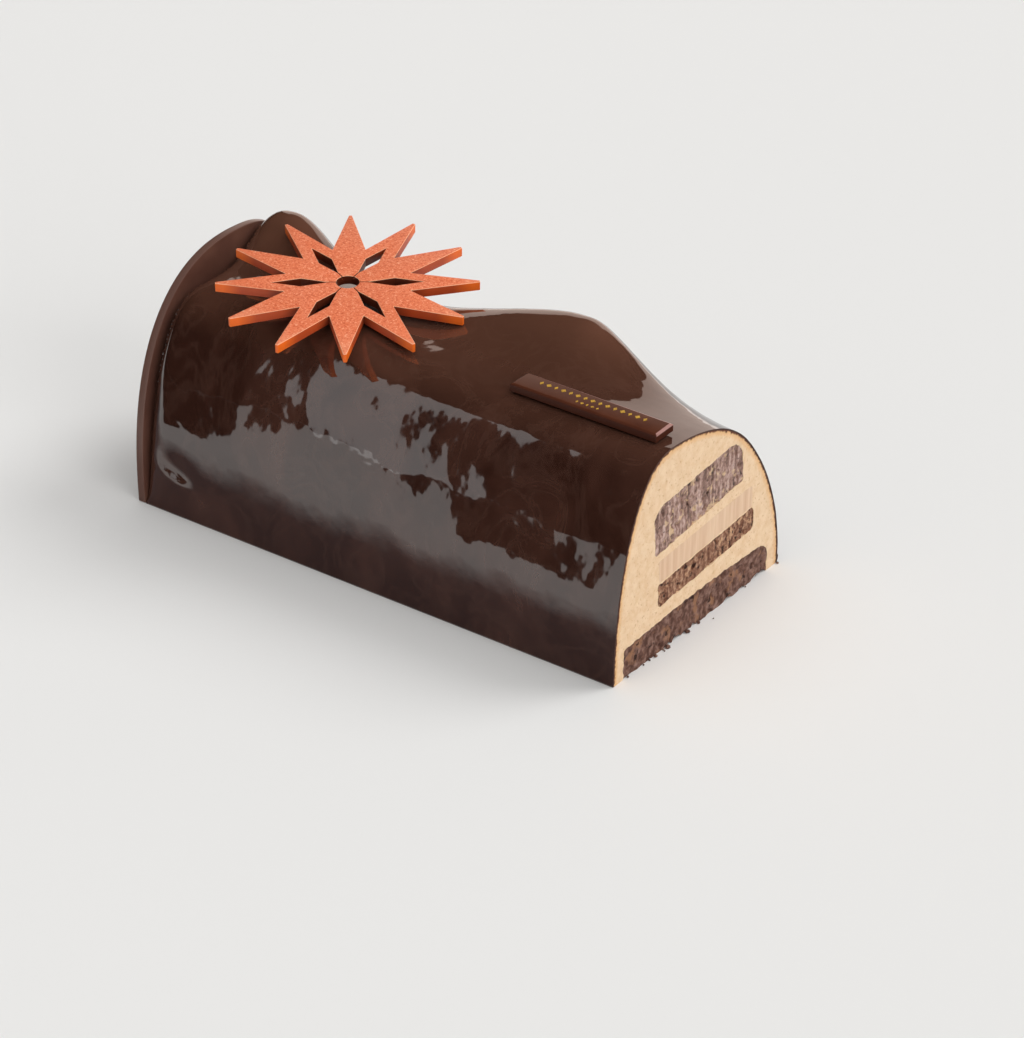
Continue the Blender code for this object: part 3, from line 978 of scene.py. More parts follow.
@dataclass
class GlazeCoat:
    """The glaze over the log, with its ripples, its fold near the disc and its beads."""

    form: LogForm
    finish: bpy.types.Material
    thickness: float = 0.5 * MM
    steps_along: int = 230
    steps_round: int = 150
    closing_share: float = 0.03
    foot_lift: float = 0.1 * MM
    swings: tuple[tuple[float, float, float], ...] = (
        (0.26 * MM, 24 * MM, 0.0), (0.11 * MM, 9 * MM, 7.0), (0.022 * MM, 4 * MM, 13.0))
    calm_height: float = 6 * MM
    ragged_cut: float = 0.15 * MM
    floor_gap: float = 0.02 * MM
    closing_middle: tuple[float, float] = (-4 * MM, 1 * MM)
    crowding: float = 1.25
    rim_degrees: float = 50.0
    beads: int = 34
    bead_arc: tuple[float, float] = (38.0, 88.0)
    bead_mm: tuple[float, float] = (0.22, 0.38)
    bead_shift_mm: tuple[float, float] = (2.0, 1.6)
    bead_shape: tuple[float, float, float] = (1.5, 0.9, 0.8)
    foot_back: float = 4.9 * MM
    foot_sunk: float = 0.1 * MM
    foot_rise: float = 1.6 * MM
    foot_lumps: float = 0.5 * MM
    foot_proud: float = 0.2 * MM
    foot_gap: float = 0.05 * MM
    foot_size: tuple[float, float, float] = (5.0 * MM, 1.5 * MM, 3.6 * MM)

    def ripple(self, place: Vector) -> float:
        """Gives how far the glaze stands out at a place of the skin."""
        swings = sum(height * wave(place, size, shift) for height, size, shift in self.swings)
        return (swings + self.form.fold(place)) * min(place.z / self.calm_height, 1.0)

    def build(self) -> None:
        """Builds the coat from a grid that is laid over the log and given its thickness."""
        clear_selection()
        bpy.ops.mesh.primitive_grid_add(x_subdivisions=self.steps_along,
                                        y_subdivisions=self.steps_round, size=1.0)
        coat = take_new("mirror_glaze")
        closing = self.closing_share
        middle = Vector((self.form.end_x, *self.closing_middle))
        for vertex in coat.data.vertices:
            share, angle = vertex.co.x + 0.5, (vertex.co.y + 0.5) * math.pi
            if share < closing:
                ring = self.form.skin_point(self.form.end_x, angle, 0.0, self.foot_lift)
                vertex.co = middle.lerp(ring, 0.05 + 0.95 * share / closing)
            else:
                reach = ((share - closing) / (1.0 - closing)) ** self.crowding
                x = self.form.end_x + (self.form.cut_x - self.form.end_x) * reach
                vertex.co = self.form.skin_point(x, angle, 0.0, self.foot_lift)
        finish_faces(coat, ALL_SMOOTH)
        probe = coat.data.polygons[len(coat.data.polygons) // 2]
        if probe.normal.yz.dot(probe.center.yz) < 0.0:
            pick_faces(coat, lambda face: True)
            bpy.ops.mesh.flip_normals()
            bpy.ops.object.mode_set(mode="OBJECT")
        pushes = [(vertex.normal.copy(), self.ripple(vertex.co)) for vertex in coat.data.vertices]
        for vertex, (outward, push) in zip(coat.data.vertices, pushes):
            if vertex.co.x < self.form.cut_x - 1e-6:
                vertex.co += outward * push
            else:
                vertex.co += Vector((0.0, outward.y, outward.z)) * push
                vertex.co.x -= self.ragged_cut * (0.5 + 0.5 * wave(vertex.co, 3 * MM, 21.0))
        apply_modifier(coat, "SOLIDIFY", {"thickness": self.thickness, "offset": -1.0})
        for vertex in coat.data.vertices:
            vertex.co.z = max(vertex.co.z, self.floor_gap)
        bpy.ops.object.shade_smooth_by_angle(angle=math.radians(self.rim_degrees))
        settle(coat, self.finish, Slot.GLAZE, "glaze_coat")

    def bead(self, index: int) -> Callable[[Vector], Vector]:
        """Gives what moves a unit ball to a bead's place, flattened along the joint."""
        first, span = self.bead_arc
        angle = math.radians(first + span * (index + 0.7 * hash_noise(index, 1.0)) / self.beads)
        radius = (self.bead_mm[0] + self.bead_mm[1] * hash_noise(index, 2.0) ** 2) * MM
        least, more = self.bead_shift_mm
        x = self.form.end_x + (least + more * hash_noise(index, 3.0)) * MM
        centre = self.form.skin_point(x, angle)
        ahead = self.form.skin_point(x, angle + 0.02) - centre
        turn = ahead.to_track_quat("X", "Z").to_matrix()
        long, wide, tall = self.bead_shape
        return lambda p: centre + turn @ (Vector((p.x * long, p.y * wide, p.z * tall)) * radius)

    def build_beads(self) -> None:
        """Builds the small beads of glaze along the joint with the disc."""
        beads = scatter("glaze_beads", self.beads, self.bead)
        finish_faces(beads, ALL_SMOOTH)
        settle(beads, self.finish, Slot.GLAZE)

    def build_foot(self) -> None:
        """Builds the lump of glaze that pooled at the rear foot beside the cut."""
        clear_selection()
        bpy.ops.mesh.primitive_uv_sphere_add(segments=28, ring_count=16, radius=1.0)
        foot = take_new("glaze_foot")
        for vertex in foot.data.vertices:
            vertex.co = Vector(a * b for a, b in zip(vertex.co, Vector(self.foot_size)))
            lump = self.foot_lumps * wave(vertex.co, 2.4 * MM, 2.0)
            vertex.co += vertex.co.normalized() * lump
            vertex.co += Vector((self.form.cut_x - self.foot_back,
                                 self.form.half_width - self.foot_sunk, self.foot_rise))
            vertex.co.z = max(vertex.co.z, self.foot_gap)
            vertex.co.x = min(vertex.co.x, self.form.cut_x + self.foot_proud)
        finish_faces(foot, 60.0)
        settle(foot, self.finish, Slot.GLAZE)


@dataclass(frozen=True)
class Grain:
    """A crumbly cut surface: the width and depth of its grains, and the depth of its holes."""

    size: float
    amount: float
    pits: float

    def depth(self, y: float, z: float) -> float:
        """Gives how far the surface lies behind the cut plane at a point of the cut."""
        place = Vector((y, z, 0.0))
        coarse = 0.5 + 0.5 * wave(place, self.size * 2.0, 3.0)
        fine = 0.5 + 0.5 * wave(place, self.size, 9.0)
        upright = 0.5 + 0.5 * wave(Vector((y, z * 0.12, 0.0)), self.size * 1.3, 15.0)
        hollow = max(wave(place, self.size * 2.4, 31.0) - 0.25, 0.0) / 0.5
        grains = self.amount * (0.4 * coarse + 0.25 * fine + 0.35 * upright)
        return grains + self.pits * min(hollow, 1.0)


@dataclass(frozen=True)
class Layer:
    """A layer: its names, its form, its edge's bumps, its surface and its front's fineness."""

    name: str
    node: str
    slot: Slot
    slab: Slab
    edge: tuple[float, float, float]
    grain: Grain
    spacing: float

    def outline(self, spacing: float) -> list[Vector]:
        """Gives the layer's uneven outline, with points a spacing apart."""
        return roughen(resample(self.slab.outline(), spacing, True), *self.edge, True)


@dataclass
class CutFace:
    """The mousse and the layers that show on the cut face."""

    form: LogForm
    finishes: dict[Slot, bpy.types.Material]
    outline_spacing: float = 0.45 * MM
    layers: tuple[Layer, ...] = (
        Layer("nut_crunch", "nut_crunch_insert", Slot.NUT,
              Slab(-0.0020, 0.0439, 0.0470, 0.0152, 6.5, 0.0045, 0.0070, 0.0012),
              (2.6 * MM, 0.35 * MM, 1.0), Grain(0.8 * MM, 0.45 * MM, 0.7 * MM), 0.4 * MM),
        Layer("caramel", "caramel_layer", Slot.CARAMEL,
              Slab(0.0027, 0.0294, 0.0505, 0.0074, 4.0, 0.0008, 0.0012, 0.0008),
              (4.0 * MM, 0.16 * MM, 2.0), Grain(1.2 * MM, 0.20 * MM, 0.0), 0.5 * MM),
        Layer("cocoa_sponge", "sponge_layer", Slot.SPONGE,
              Slab(0.0033, 0.0213, 0.0520, 0.0078, 4.0, 0.0008, 0.0020, 0.0012),
              (3.2 * MM, 0.40 * MM, 3.0), Grain(0.8 * MM, 0.50 * MM, 0.8 * MM), 0.4 * MM),
    )
    torn: Grain = Grain(1.6 * MM, 0.22 * MM, 0.12 * MM)
    crumbly: Grain = Grain(0.9 * MM, 0.5 * MM, 0.6 * MM)
    smooth_degrees: float = 42.0
    straight_run: float = 1.2 * MM
    mousse_inset: float = 0.45 * MM
    arch_steps: int = 300
    mousse_stations: int = 60
    station_crowding: float = 1.4
    foot_spacing: float = 0.5 * MM
    mousse_spacing: float = 0.55 * MM
    base_spacing: float = 0.42 * MM
    base_lip: float = 0.5 * MM
    base_chipped: float = 2.6 * MM
    chip_mm: float = 1.9
    chip_limit: float = 1.5 * MM
    crumbs: int = 12
    crumb_mm: tuple[float, float] = (0.22, 0.5)
    crumb_shift_mm: tuple[float, float] = (0.1, 2.6)
    crumb_line: tuple[float, float] = (-42 * MM, 87 * MM)
    base_front_y: float = -0.0398
    base_rear_y: float = 0.0385
    base_front_height: float = 0.0098
    base_height: float = 0.0108
    base_crown: float = 0.0012

    def base_top(self) -> list[Vector]:
        """Gives the top of the biscuit base, from its rear foot over to its front foot."""
        rear, front = Vector((self.base_rear_y, 0.0)), Vector((self.base_front_y, 0.0))
        top_rear = Vector((self.base_rear_y, self.base_height))
        top_front = Vector((self.base_front_y, self.base_front_height))
        shoulder = corner_arc(top_rear, rear, top_front, 5.0 * MM)
        corner = corner_arc(top_front, top_rear, front, 1.2 * MM)
        crown = []
        for share in (step / 12 for step in range(1, 12)):
            lift = Vector((0.0, self.base_crown * math.sin(math.pi * share)))
            crown.append(shoulder[-1].lerp(corner[0], share) + lift)
        line = resample([rear, *shoulder, *crown, *corner, front], self.outline_spacing, False)
        return roughen(line, 2.2 * MM, 0.45 * MM, 40.0, False)

    def rows(self, outline: list[Vector], stations: Iterable[float]) -> list[list[Vector]]:
        """Gives an outline again at each station along the log."""
        return [[Vector((x, p.x, p.y)) for p in outline] for x in stations]

    def build_layer(self, layer: Layer, outline: list[Vector], end_x: float) -> None:
        """Builds one layer, from its outline on the cut back to its far end."""
        cut_x = self.form.cut_x
        rows = self.rows(outline, (cut_x - self.straight_run, end_x))
        patch = CutPatch(outline, [], layer.spacing)
        item = sweep_back(layer.name, patch, layer.grain.depth, cut_x, [rows])
        finish_faces(item, self.smooth_degrees)
        settle(item, self.finishes[layer.slot], layer.slot, layer.node)

    def build_base(self, top: list[Vector], end_x: float) -> None:
        """Builds the biscuit base, whose lower edge is chipped at the cut."""
        cut_x = self.form.cut_x
        bottom = resample([top[-1], top[0]], self.outline_spacing, False)[1:-1]
        chipped = []
        for point in bottom:
            place = Vector((point.x, 0.0, 0.0))
            chip = max(wave(place, 4.5 * MM, 3.0) + 0.6 * wave(place, 1.7 * MM, 8.0), 0.0)
            chipped.append(Vector((point.x, min(chip * self.chip_mm * MM, self.chip_limit))))
        outline = top + chipped
        rows = self.rows(outline, (cut_x - self.base_lip,))
        rows += self.rows(top + bottom, (cut_x - self.base_chipped, end_x))
        patch = CutPatch(outline, [], self.base_spacing)
        base = sweep_back("biscuit_bottom", patch, self.crumbly.depth, cut_x, [rows])
        finish_faces(base, self.smooth_degrees)
        settle(base, self.finishes[Slot.BISCUIT], Slot.BISCUIT, "biscuit_base")

    def build_mousse(self, top: list[Vector], holes: list[list[Vector]], end_x: float) -> None:
        """Builds the mousse round its layers, and notes each point's distance to the glaze."""
        cut_x, inset = self.form.cut_x, self.mousse_inset
        angles = [math.pi * step / self.arch_steps for step in range(self.arch_steps + 1)]
        arch = [self.form.skin_point(cut_x, angle, inset).yz for angle in angles]
        rear_foot = resample([arch[-1], top[0]], self.foot_spacing, False)[1:-1]
        front_foot = resample([top[-1], arch[0]], self.foot_spacing, False)[1:-1]
        rest = rear_foot + top + front_foot
        depth = cut_x - self.form.end_x - 1 * MM
        rows = []
        for step in range(1, self.mousse_stations + 1):
            x = cut_x - depth * (step / self.mousse_stations) ** self.station_crowding
            skin = [self.form.core_point(x, angle, inset) for angle in angles]
            rows.append(skin + [Vector((x, p.x, p.y if x > end_x else 0.0)) for p in rest])
        hole_rows = [self.rows(hole, (cut_x - self.straight_run, end_x - 0.2 * MM)) for hole in holes]
        patch = CutPatch(arch + rest, holes, self.mousse_spacing)
        mousse = sweep_back("mousse_filling", patch, self.torn.depth, cut_x, [rows, *hole_rows])
        finish_faces(mousse, self.smooth_degrees)
        places = np.array([(v.co.y, v.co.z) for v in mousse.data.vertices])
        rim = distance_to(places, as_array(arch)) / MM
        note = mousse.data.attributes.new(RIM_NOTE, "FLOAT", "POINT")
        note.data.foreach_set("value", rim)
        settle(mousse, self.finishes[Slot.MOUSSE], Slot.MOUSSE, "mousse_body")

    def build(self) -> None:
        """Builds the mousse and its layers."""
        end_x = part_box("sponge_layer")[0].x
        top = self.base_top()
        outlines = [layer.outline(self.outline_spacing) for layer in self.layers]
        self.build_mousse(top, outlines, end_x)
        for layer, outline in zip(self.layers, outlines):
            self.build_layer(layer, outline, end_x)
        self.build_base(top, end_x)

    def crumb(self, index: int) -> Callable[[Vector], Vector]:
        """Gives what moves a unit ball to a crumb's place, as an uneven lump on the floor."""
        radius = (self.crumb_mm[0] + self.crumb_mm[1] * hash_noise(index, 11.0) ** 3) * MM
        y = self.crumb_line[0] + self.crumb_line[1] * hash_noise(index, 12.0)
        least, more = self.crumb_shift_mm
        x = self.form.cut_x + (least + more * hash_noise(index, 13.0) ** 3) * MM + radius * 0.3

        def shape(point: Vector) -> Vector:
            place = point * (1.0 + 0.45 * wave(point + Vector((index, 0.0, 0.0)), 0.8))
            z = max(place.z * 0.8 + 0.7, 0.0) * radius
            return Vector((x + place.x * radius, y + place.y * radius * 1.2, z))

        return shape

    def build_crumbs(self) -> None:
        """Builds the crumbs that fell at the foot of the cut."""
        crumbs = scatter("biscuit_crumbs", self.crumbs, self.crumb)
        finish_faces(crumbs, 40.0)
        settle(crumbs, self.finishes[Slot.BISCUIT], Slot.BISCUIT)


@dataclass
class EndDisc:
    """The arched chocolate disc that closes the end of the log."""

    finish: bpy.types.Material
    peak_y: float = 0.009
    fullness: float = 2.4
    steps: int = 160
    edge: float = 0.35 * MM

    def build(self) -> None:
        """Builds the disc: a flat outline, drawn out to its thickness, with eased edges."""
        low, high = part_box("end_disc")
        clear_selection()
        bpy.ops.mesh.primitive_circle_add(vertices=self.steps, radius=1.0, fill_type="NGON")
        disc = take_new("chocolate_disc")
        power = 2.0 / self.fullness
        for index, vertex in enumerate(disc.data.vertices):
            angle = math.pi * index / (self.steps - 1)
            across, up = math.cos(angle), max(math.sin(angle), 0.0)
            reach = high.y + math.copysign(self.peak_y, across)
            y = self.peak_y - math.copysign(abs(across) ** power, across) * reach
            vertex.co = Vector((low.x, y, high.z * up ** power))
        draw_out(disc, (high.x - low.x, 0.0, 0.0))
        ease_edges(disc, self.edge, 50.0)
        finish_faces(disc, 40.0)
        settle(disc, self.finish, Slot.DISC, "end_disc")


@dataclass
class Star:
    """The cut-out star that lies on the two waves of the log."""

    finish: bpy.types.Material
    points: int = 12
    radius: float = 0.0411
    thickness: float = 0.003
    tip_half_width: float = 0.5 * MM
    edge: float = 0.34 * MM
    notch_share: float = 0.4935
    hole_share: float = 0.088
    window_shares: tuple[float, float, float, float] = (0.150, 0.357, 0.575, 0.0556)
    slit_width: float = 0.32 * MM
    lean: Vector = Vector((0.091, -0.102, 0.991))
    turn_degrees: float = 128.74

    def outline_point(self, index: int) -> Vector:
        """Gives a vertex of the outline: three to each of the star's points."""
        point, part = divmod(index, 3)
        pitch = 2.0 * math.pi / self.points
        if part == 2:
            reach = self.notch_share * self.radius
            angle = (point + 0.5) * pitch
            return Vector((reach * math.cos(angle), reach * math.sin(angle), 0.0))
        tip = Vector((self.radius, self.tip_half_width * (1 if part else -1), 0.0))
        return Matrix.Rotation(point * pitch, 3, "Z") @ tip

    def cut_away(self, star: bpy.types.Object, cutter: bpy.types.Object) -> None:
        """Takes a cutter's shape out of the star, and removes the cutter."""
        apply_modifier(star, "BOOLEAN",
                       {"operation": "DIFFERENCE", "solver": "EXACT", "object": cutter})
        bpy.data.objects.remove(cutter, do_unlink=True)

    def window(self, index: int) -> bpy.types.Object:
        """Makes the cutter for one kite-shaped window."""
        inner, widest, outer, half_width = (share * self.radius for share in self.window_shares)
        clear_selection()
        bpy.ops.mesh.primitive_circle_add(vertices=4, radius=1.0, fill_type="NGON")
        cutter = take_new("window_cutter")
        corners = ((inner, 0.0), (widest, half_width), (outer, 0.0), (widest, -half_width))
        turn = Matrix.Rotation(2.0 * math.pi * (2 * index + 1) / self.points, 3, "Z")
        for vertex, (x, y) in zip(cutter.data.vertices, corners):
            vertex.co = turn @ Vector((x, y, -self.thickness))
        draw_out(cutter, (0.0, 0.0, 3.0 * self.thickness))
        face_outwards(cutter)
        return cutter

    def slit(self, index: int) -> bpy.types.Object:
        """Makes the cutter for the fine groove between a window and the middle hole."""
        inner = self.hole_share * self.radius * 0.9
        outer = self.window_shares[0] * self.radius * 1.15
        clear_selection()
        bpy.ops.mesh.primitive_cube_add(size=1.0)
        cutter = take_new("slit_cutter")
        turn = Matrix.Rotation(2.0 * math.pi * (2 * index + 1) / self.points, 4, "Z")
        size = Matrix.Diagonal((outer - inner, self.slit_width, self.thickness, 1.0))
        middle = Matrix.Translation(((inner + outer) / 2, 0.0, self.thickness * 1.2))
        place_mesh(cutter, turn @ middle @ size)
        return cutter

    def build(self) -> None:
        """Builds the star flat, cuts its windows, eases its edges and lays it in place."""
        clear_selection()
        bpy.ops.mesh.primitive_circle_add(vertices=3 * self.points, radius=1.0, fill_type="NGON")
        star = take_new("orange_star")
        for index, vertex in enumerate(star.data.vertices):
            vertex.co = self.outline_point(index)
        draw_out(star, (0.0, 0.0, self.thickness))
        face_outwards(star)
        clear_selection()
        bpy.ops.mesh.primitive_cylinder_add(vertices=48, radius=self.hole_share * self.radius,
                                            depth=4.0 * self.thickness)
        self.cut_away(star, take_new("hole_cutter"))
        for index in range(self.points // 2):
            self.cut_away(star, self.window(index))
        ease_edges(star, self.edge, 35.0)
        for index in range(self.points // 2):
            self.cut_away(star, self.slit(index))
        normal = self.lean.normalized()
        along = Vector((0.0, 1.0, 0.0)).cross(normal).normalized()
        turn = Matrix.Rotation(math.radians(self.turn_degrees), 4, "Z")
        low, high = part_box("star_decoration")
        middle = (low + high) / 2 - normal * (self.thickness / 2)
        place_mesh(star, Matrix.Translation(middle) @ lie_along(along, normal) @ turn)
        finish_faces(star, 28.0)
        settle(star, self.finish, Slot.ORANGE, "star_decoration")


@dataclass
class NameBar:
    """The small chocolate bar on the log's shoulder, with a plain gold ornament."""

    form: LogForm
    finish: bpy.types.Material
    gold: bpy.types.Material
    length: float = 0.0515
    width: float = 0.0088
    thickness: float = 0.0026
    bevel: float = 0.8 * MM
    bevel_drop: float = 0.45 * MM
    from_cut: float = 0.0303
    y: float = -0.0150
    edge: float = 0.16 * MM
    ornament_rows: tuple[tuple[float, int, float, float], ...] = (
        (1.2 * MM, 15, 2.6 * MM, 1.05 * MM), (-1.7 * MM, 5, 1.8 * MM, 0.7 * MM))
    ornament_sunk: float = 0.05 * MM
    ornament_proud: float = 0.07 * MM

    def place(self) -> Matrix:
        """Gives the bar's place, along the slope of the glaze under it."""
        middle_x = self.form.cut_x - self.from_cut
        run, reach = self.length / 2, self.width / 2
        heights = [self.form.skin_height(middle_x + dx, self.y + dy)
                   for dx, dy in ((run, 0.0), (-run, 0.0), (0.0, reach), (0.0, -reach))]
        along = Vector((2.0 * run, 0.0, heights[0] - heights[1])).normalized()
        normal = along.cross(Vector((0.0, 2.0 * reach, heights[2] - heights[3]))).normalized()
        low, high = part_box("name_bar")
        return Matrix.Translation((low + high) / 2) @ lie_along(along, normal)

    def build(self) -> None:
        """Builds the bar: a block whose top is inset and raised, with eased edges."""
        clear_selection()
        bpy.ops.mesh.primitive_cube_add(size=1.0)
        bar = take_new("chocolate_bar")
        shoulder = self.thickness - self.bevel_drop
        for vertex in bar.data.vertices:
            vertex.co.x *= self.length
            vertex.co.y *= self.width
            vertex.co.z = (vertex.co.z + 0.5) * shoulder - self.thickness / 2
        pick_faces(bar, lambda face: face.normal.z > 0.9)
        bpy.ops.mesh.inset(thickness=self.bevel, depth=self.bevel_drop)
        bpy.ops.object.mode_set(mode="OBJECT")
        ease_edges(bar, self.edge, 20.0, 2)
        place_mesh(bar, self.place())
        finish_faces(bar, 15.0)
        settle(bar, self.finish, Slot.BAR, "name_bar")

    def build_ornament(self) -> None:
        """Builds the ornament: a row of small gold lozenges over a shorter row."""
        points, faces = [], []
        top = self.thickness / 2
        for row_y, count, pitch, tall in self.ornament_rows:
            for index in range(count):
                middle = Vector(((index - (count - 1) / 2) * pitch, row_y, 0.0))
                wide = tall * (0.95 if index % 2 else 0.65)
                corners = ((-wide, 0.0), (0.0, -tall), (wide, 0.0), (0.0, tall))
                first = len(points)
                ends = ((top - self.ornament_sunk, 1.0), (top + self.ornament_proud, 0.8))
                for height, share in ends:
                    points += [middle + Vector((x * share, y * share, height)) for x, y in corners]
                faces.append(tuple(first + 3 - step for step in range(4)))
                faces.append(tuple(first + 4 + step for step in range(4)))
                for step in range(4):
                    here, following = first + step, first + (step + 1) % 4
                    faces.append((here, following, following + 4, here + 4))
        ornament = mesh_object("gold_ornament", points, faces)
        place_mesh(ornament, self.place())
        finish_faces(ornament, 20.0)
        settle(ornament, self.gold, Slot.BAR)


@dataclass(frozen=True)
class Lamp:
    """A studio lamp: a sun or a soft panel that looks at a point of the cake.

    A lamp that doesn't light is a card seen in the gloss alone, and one that doesn't shine
    stays out of the gloss.
    """

    name: str
    direction: tuple[float, float, float]
    strength: float
    size: tuple[float, float] = (0.0, 0.0)
    distance: float = 1.0
    colour: str = "#ffffff"
    sun_degrees: float = 0.0
    lights: bool = True
    shines: bool = True
    aim: tuple[float, float, float] = (0.0, 0.0, 0.04)
    upright: tuple[float, float, float] = (0.0, 0.0, 1.0)

    def build(self) -> None:
        """Builds the lamp, with its long side along its upright direction."""
        kind = "SUN" if self.sun_degrees else "AREA"
        toward = Vector(self.direction).normalized()
        sideways = Vector(self.upright).cross(toward).normalized()
        turn = Matrix((sideways, toward.cross(sideways), toward)).transposed()
        clear_selection()
        bpy.ops.object.light_add(type=kind, location=Vector(self.aim) + toward * self.distance,
                                 rotation=turn.to_euler())
        lamp = take_new(self.name)
        lamp.data.color = srgb(self.colour)[:3]
        lamp.visible_diffuse, lamp.visible_glossy = self.lights, self.shines
        if self.sun_degrees:
            lamp.data.energy, lamp.data.angle = self.strength, math.radians(self.sun_degrees)
            return
        lamp.data.shape = "RECTANGLE"
        lamp.data.size, lamp.data.size_y = self.size
        lamp.data.energy = self.strength * math.pi * self.size[0] * self.size[1]
        lamp.visible_camera = False


def matt_card(name: str, colour: str, roughness: float, specular: float) -> bpy.types.Material:
    """Makes the material of a matt sheet.

    Args:
        name: the material's name.
        colour: its sRGB hex colour.
        roughness: its roughness.
        specular: the strength of its plain reflection.

    Returns:
        The material.
    """
    card = bpy.data.materials.new(name)
    card.use_nodes = True
    shader = card.node_tree.nodes["Principled BSDF"]
    shader.inputs["Base Color"].default_value = srgb(colour)
    shader.inputs["Roughness"].default_value = roughness
    shader.inputs["Specular IOR Level"].default_value = specular
    return card


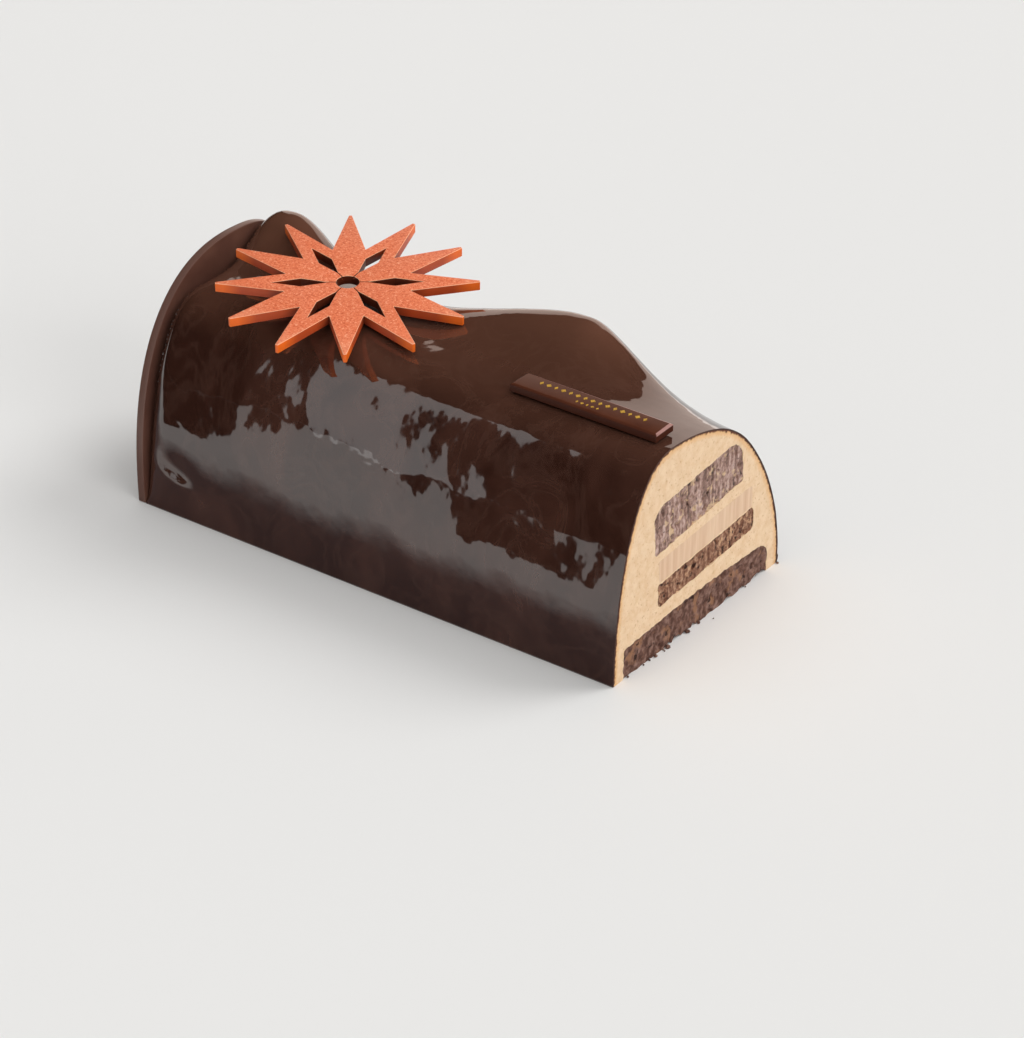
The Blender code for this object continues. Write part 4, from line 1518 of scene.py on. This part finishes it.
@dataclass
class Studio:
    """The pale floor, the soft lamps and the camera."""

    aim: Vector = Vector((0.0402, -0.0213, 0.0271))
    back: Vector = Vector((0.5219, -0.7012, 0.4857))
    distance: float = 0.7488
    lens: float = 86.7
    floor_size: float = 30.0
    floor_colour: str = "#ebeae8"
    world_strength: float = 0.28
    flag_height: float = 0.4 * MM
    flag_fade: tuple[float, float] = (-0.101, -0.074)
    lamps: tuple[Lamp, ...] = (
        Lamp("key_sun", (0.45, 0.60, 0.70), 1.15, sun_degrees=30.0, shines=False),
        Lamp("top_sun", (0.05, -0.05, 1.0), 1.08, sun_degrees=90.0, shines=False,
             upright=(0.0, 1.0, 0.0)),
        Lamp("side_sun", (0.93, -0.25, 0.30), 1.2, sun_degrees=40.0, shines=False),
        Lamp("front_card", (-0.602, -0.700, 0.400), 0.85, (0.090, 0.78), 0.80, lights=False,
             aim=(0.028, -0.036, 0.050), upright=(0.076, 0.484, 0.872)),
        Lamp("right_card", (-0.196, -0.935, 0.293), 0.80, (0.39, 0.50), 0.846, lights=False,
             aim=(0.085, -0.038, 0.045), upright=(-0.187, 0.295, 0.937)),
        Lamp("rear_card", (-0.42, 0.86, 0.31), 1.2, (0.86, 0.72), 1.0, "#f6e2d6", lights=False),
    )
    flags: tuple[tuple[tuple[float, float], ...], ...] = (
        ((-0.035, -0.150), (0.018, -0.150), (-8.55, -15.0), (-10.3, -15.0)),
        ((-0.150, -0.150), (-0.309, -0.386), (-8.9, -12.2), (-14.0, -12.2), (-14.0, -0.150)),
    )
    # Grey card by the front foot, seen in the gloss alone: painted shadow of the log.
    near_shadow_flag: tuple[tuple[float, float], ...] = (
        (-0.30, -0.0451), (0.13, -0.0451), (0.13, -0.125), (-0.30, -0.125))

    def build(self) -> None:
        """Builds the floor, the world, the lamps and the camera."""
        clear_selection()
        bpy.ops.mesh.primitive_plane_add(size=self.floor_size)
        floor = take_new("studio_floor")
        floor.data.materials.append(matt_card("matt_paper_sweep", self.floor_colour, 0.9, 0.1))
        floor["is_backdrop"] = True
        self.build_world()
        for lamp in self.lamps:
            lamp.build()
        self.build_flags()
        self.build_camera()
        bpy.context.scene.view_settings.view_transform = "Standard"

    def build_world(self) -> None:
        """Fills the room with a soft light that looks as pale as the floor, and hides it from gloss."""
        world = bpy.data.worlds.new("studio_air")
        world.use_nodes = True
        tree = world.node_tree
        seen = add_node(tree, "LightPath").outputs["Is Camera Ray"]
        grey = (self.world_strength, self.world_strength, self.world_strength, 1.0)
        tone = add_node(tree, "Mix", {"data_type": "RGBA", 6: grey, 7: srgb(self.floor_colour)},
                        {0: seen})
        tree.links.new(socket_of(tone), tree.nodes["Background"].inputs["Color"])
        world.cycles_visibility.glossy = False
        bpy.context.scene.world = world

    def build_camera(self) -> None:
        """Places the camera."""
        back = self.back.normalized()
        clear_selection()
        bpy.ops.object.camera_add(location=self.aim + back * self.distance,
                                  rotation=back.to_track_quat("Z", "Y").to_euler())
        camera = take_new("studio_camera")
        camera.data.lens, camera.data.sensor_width = self.lens, 36.0
        camera.data.clip_start = 0.01
        bpy.context.scene.camera = camera

    def fade_out(self, card: bpy.types.Material) -> None:
        """Thins a card out away from the cake, as the edge of a shadow does."""
        tree = card.node_tree
        place = add_node(tree, "TexCoord").outputs["Object"]
        across = add_node(tree, "SeparateXYZ", None, {0: place})
        low, high = self.flag_fade
        fade = add_node(tree, "MapRange", {"range": (low, high, 0.0, 1.0)},
                        {"Value": across.outputs["Y"]})
        tree.links.new(socket_of(fade), tree.nodes["Principled BSDF"].inputs["Alpha"])

    def build_flags(self) -> None:
        """Lays dark card on the floor, seen in the gloss alone, as the dark of a studio, and a grey
        card by the front foot as a painted shadow of the log in the gloss.
        """
        black = matt_card("black_felt", "#0a0a0a", 1.0, 0.0)
        # Painted shadow, seen in the gloss: the grey card fades out away from the cake.
        grey = matt_card("reflected_shadow_card", "#6c686c", 1.0, 0.0)
        self.fade_out(grey)
        for index, corners in enumerate((*self.flags, self.near_shadow_flag)):
            places = [(x, y, self.flag_height) for x, y in corners]
            flag = mesh_object(f"studio_flag_{index + 1}", places, [tuple(range(len(corners)))])
            flag.data.materials.append(grey if corners is self.near_shadow_flag else black)
            flag.visible_camera = flag.visible_diffuse = flag.visible_shadow = False
            flag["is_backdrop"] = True


def make_finishes() -> dict[Slot, bpy.types.Material]:
    """Makes the finish of each material slot."""
    star_low, star_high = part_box("star_decoration")
    finishes = {
        Slot.GLAZE: MirrorGlaze("cocoa_mirror_glaze", 0.045, 1.9),
        Slot.MOUSSE: Mousse("coffee_caramel_mousse", 0.62, 1.4, 0.12, 1.2),
        Slot.NUT: Crumb("nut_crunch", 0.55, streak=0.55),
        Slot.CARAMEL: SmearedCaramel("soft_caramel", 0.42, 1.45, 0.1, 1.0),
        Slot.SPONGE: Crumb("cocoa_sponge", 0.8, dark="#5c3626", middle="#825944", light="#b18c72",
                           hole="#2a130c", fleck="#c79e7a", streak=0.4, grain_mm=1.1,
                           hole_share=0.34),
        Slot.BISCUIT: Crumb("cocoa_biscuit", 0.85, dark="#4d3128", middle="#694a3f", light="#8b6c60",
                            hole="#2a150e", fleck="#946a4e", streak=0.2, grain_mm=1.9,
                            fleck_share=0.36),
        Slot.DISC: Chocolate("dark_disc_chocolate", 0.32, 1.46, body="#5a3a30", bloom="#664438",
                             edge="#6d4f45"),
        Slot.ORANGE: OrangeChocolate("orange_chocolate", 0.5, 1.46, 0.08, 0.8,
                                     centre=tuple((star_low + star_high) / 2)),
        # The bar's edge tone is painted shade on its sides, and its lit tone a painted highlight on the
        # bevels facing the light.
        Slot.BAR: Chocolate("bar_chocolate", 0.26, 1.22, body="#4d2617", bloom="#5a301e",
                            edge="#43231a", grain_mm=0.6, grain_depth_mm=0.008, face_axis="Z",
                            lit="#b58a82"),
    }
    return {slot: finish.make() for slot, finish in finishes.items()}


def main() -> None:
    """Builds the cake and its studio."""
    logging.basicConfig(level=logging.INFO, format="%(name)s: %(message)s")
    low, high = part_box("glaze_coat")
    form = LogForm(cut_x=high.x, end_x=low.x, half_width=high.y)
    finishes = make_finishes()
    coat = GlazeCoat(form, finishes[Slot.GLAZE])
    coat.build()
    coat.build_beads()
    coat.build_foot()
    cut = CutFace(form, finishes)
    cut.build()
    cut.build_crumbs()
    EndDisc(finishes[Slot.DISC]).build()
    Star(finishes[Slot.ORANGE]).build()
    bar = NameBar(form, finishes[Slot.BAR], GoldPrint("gold_print", 0.4).make())
    bar.build()
    bar.build_ornament()
    Studio().build()
    low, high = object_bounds()


if __name__ == "__main__":
    main()
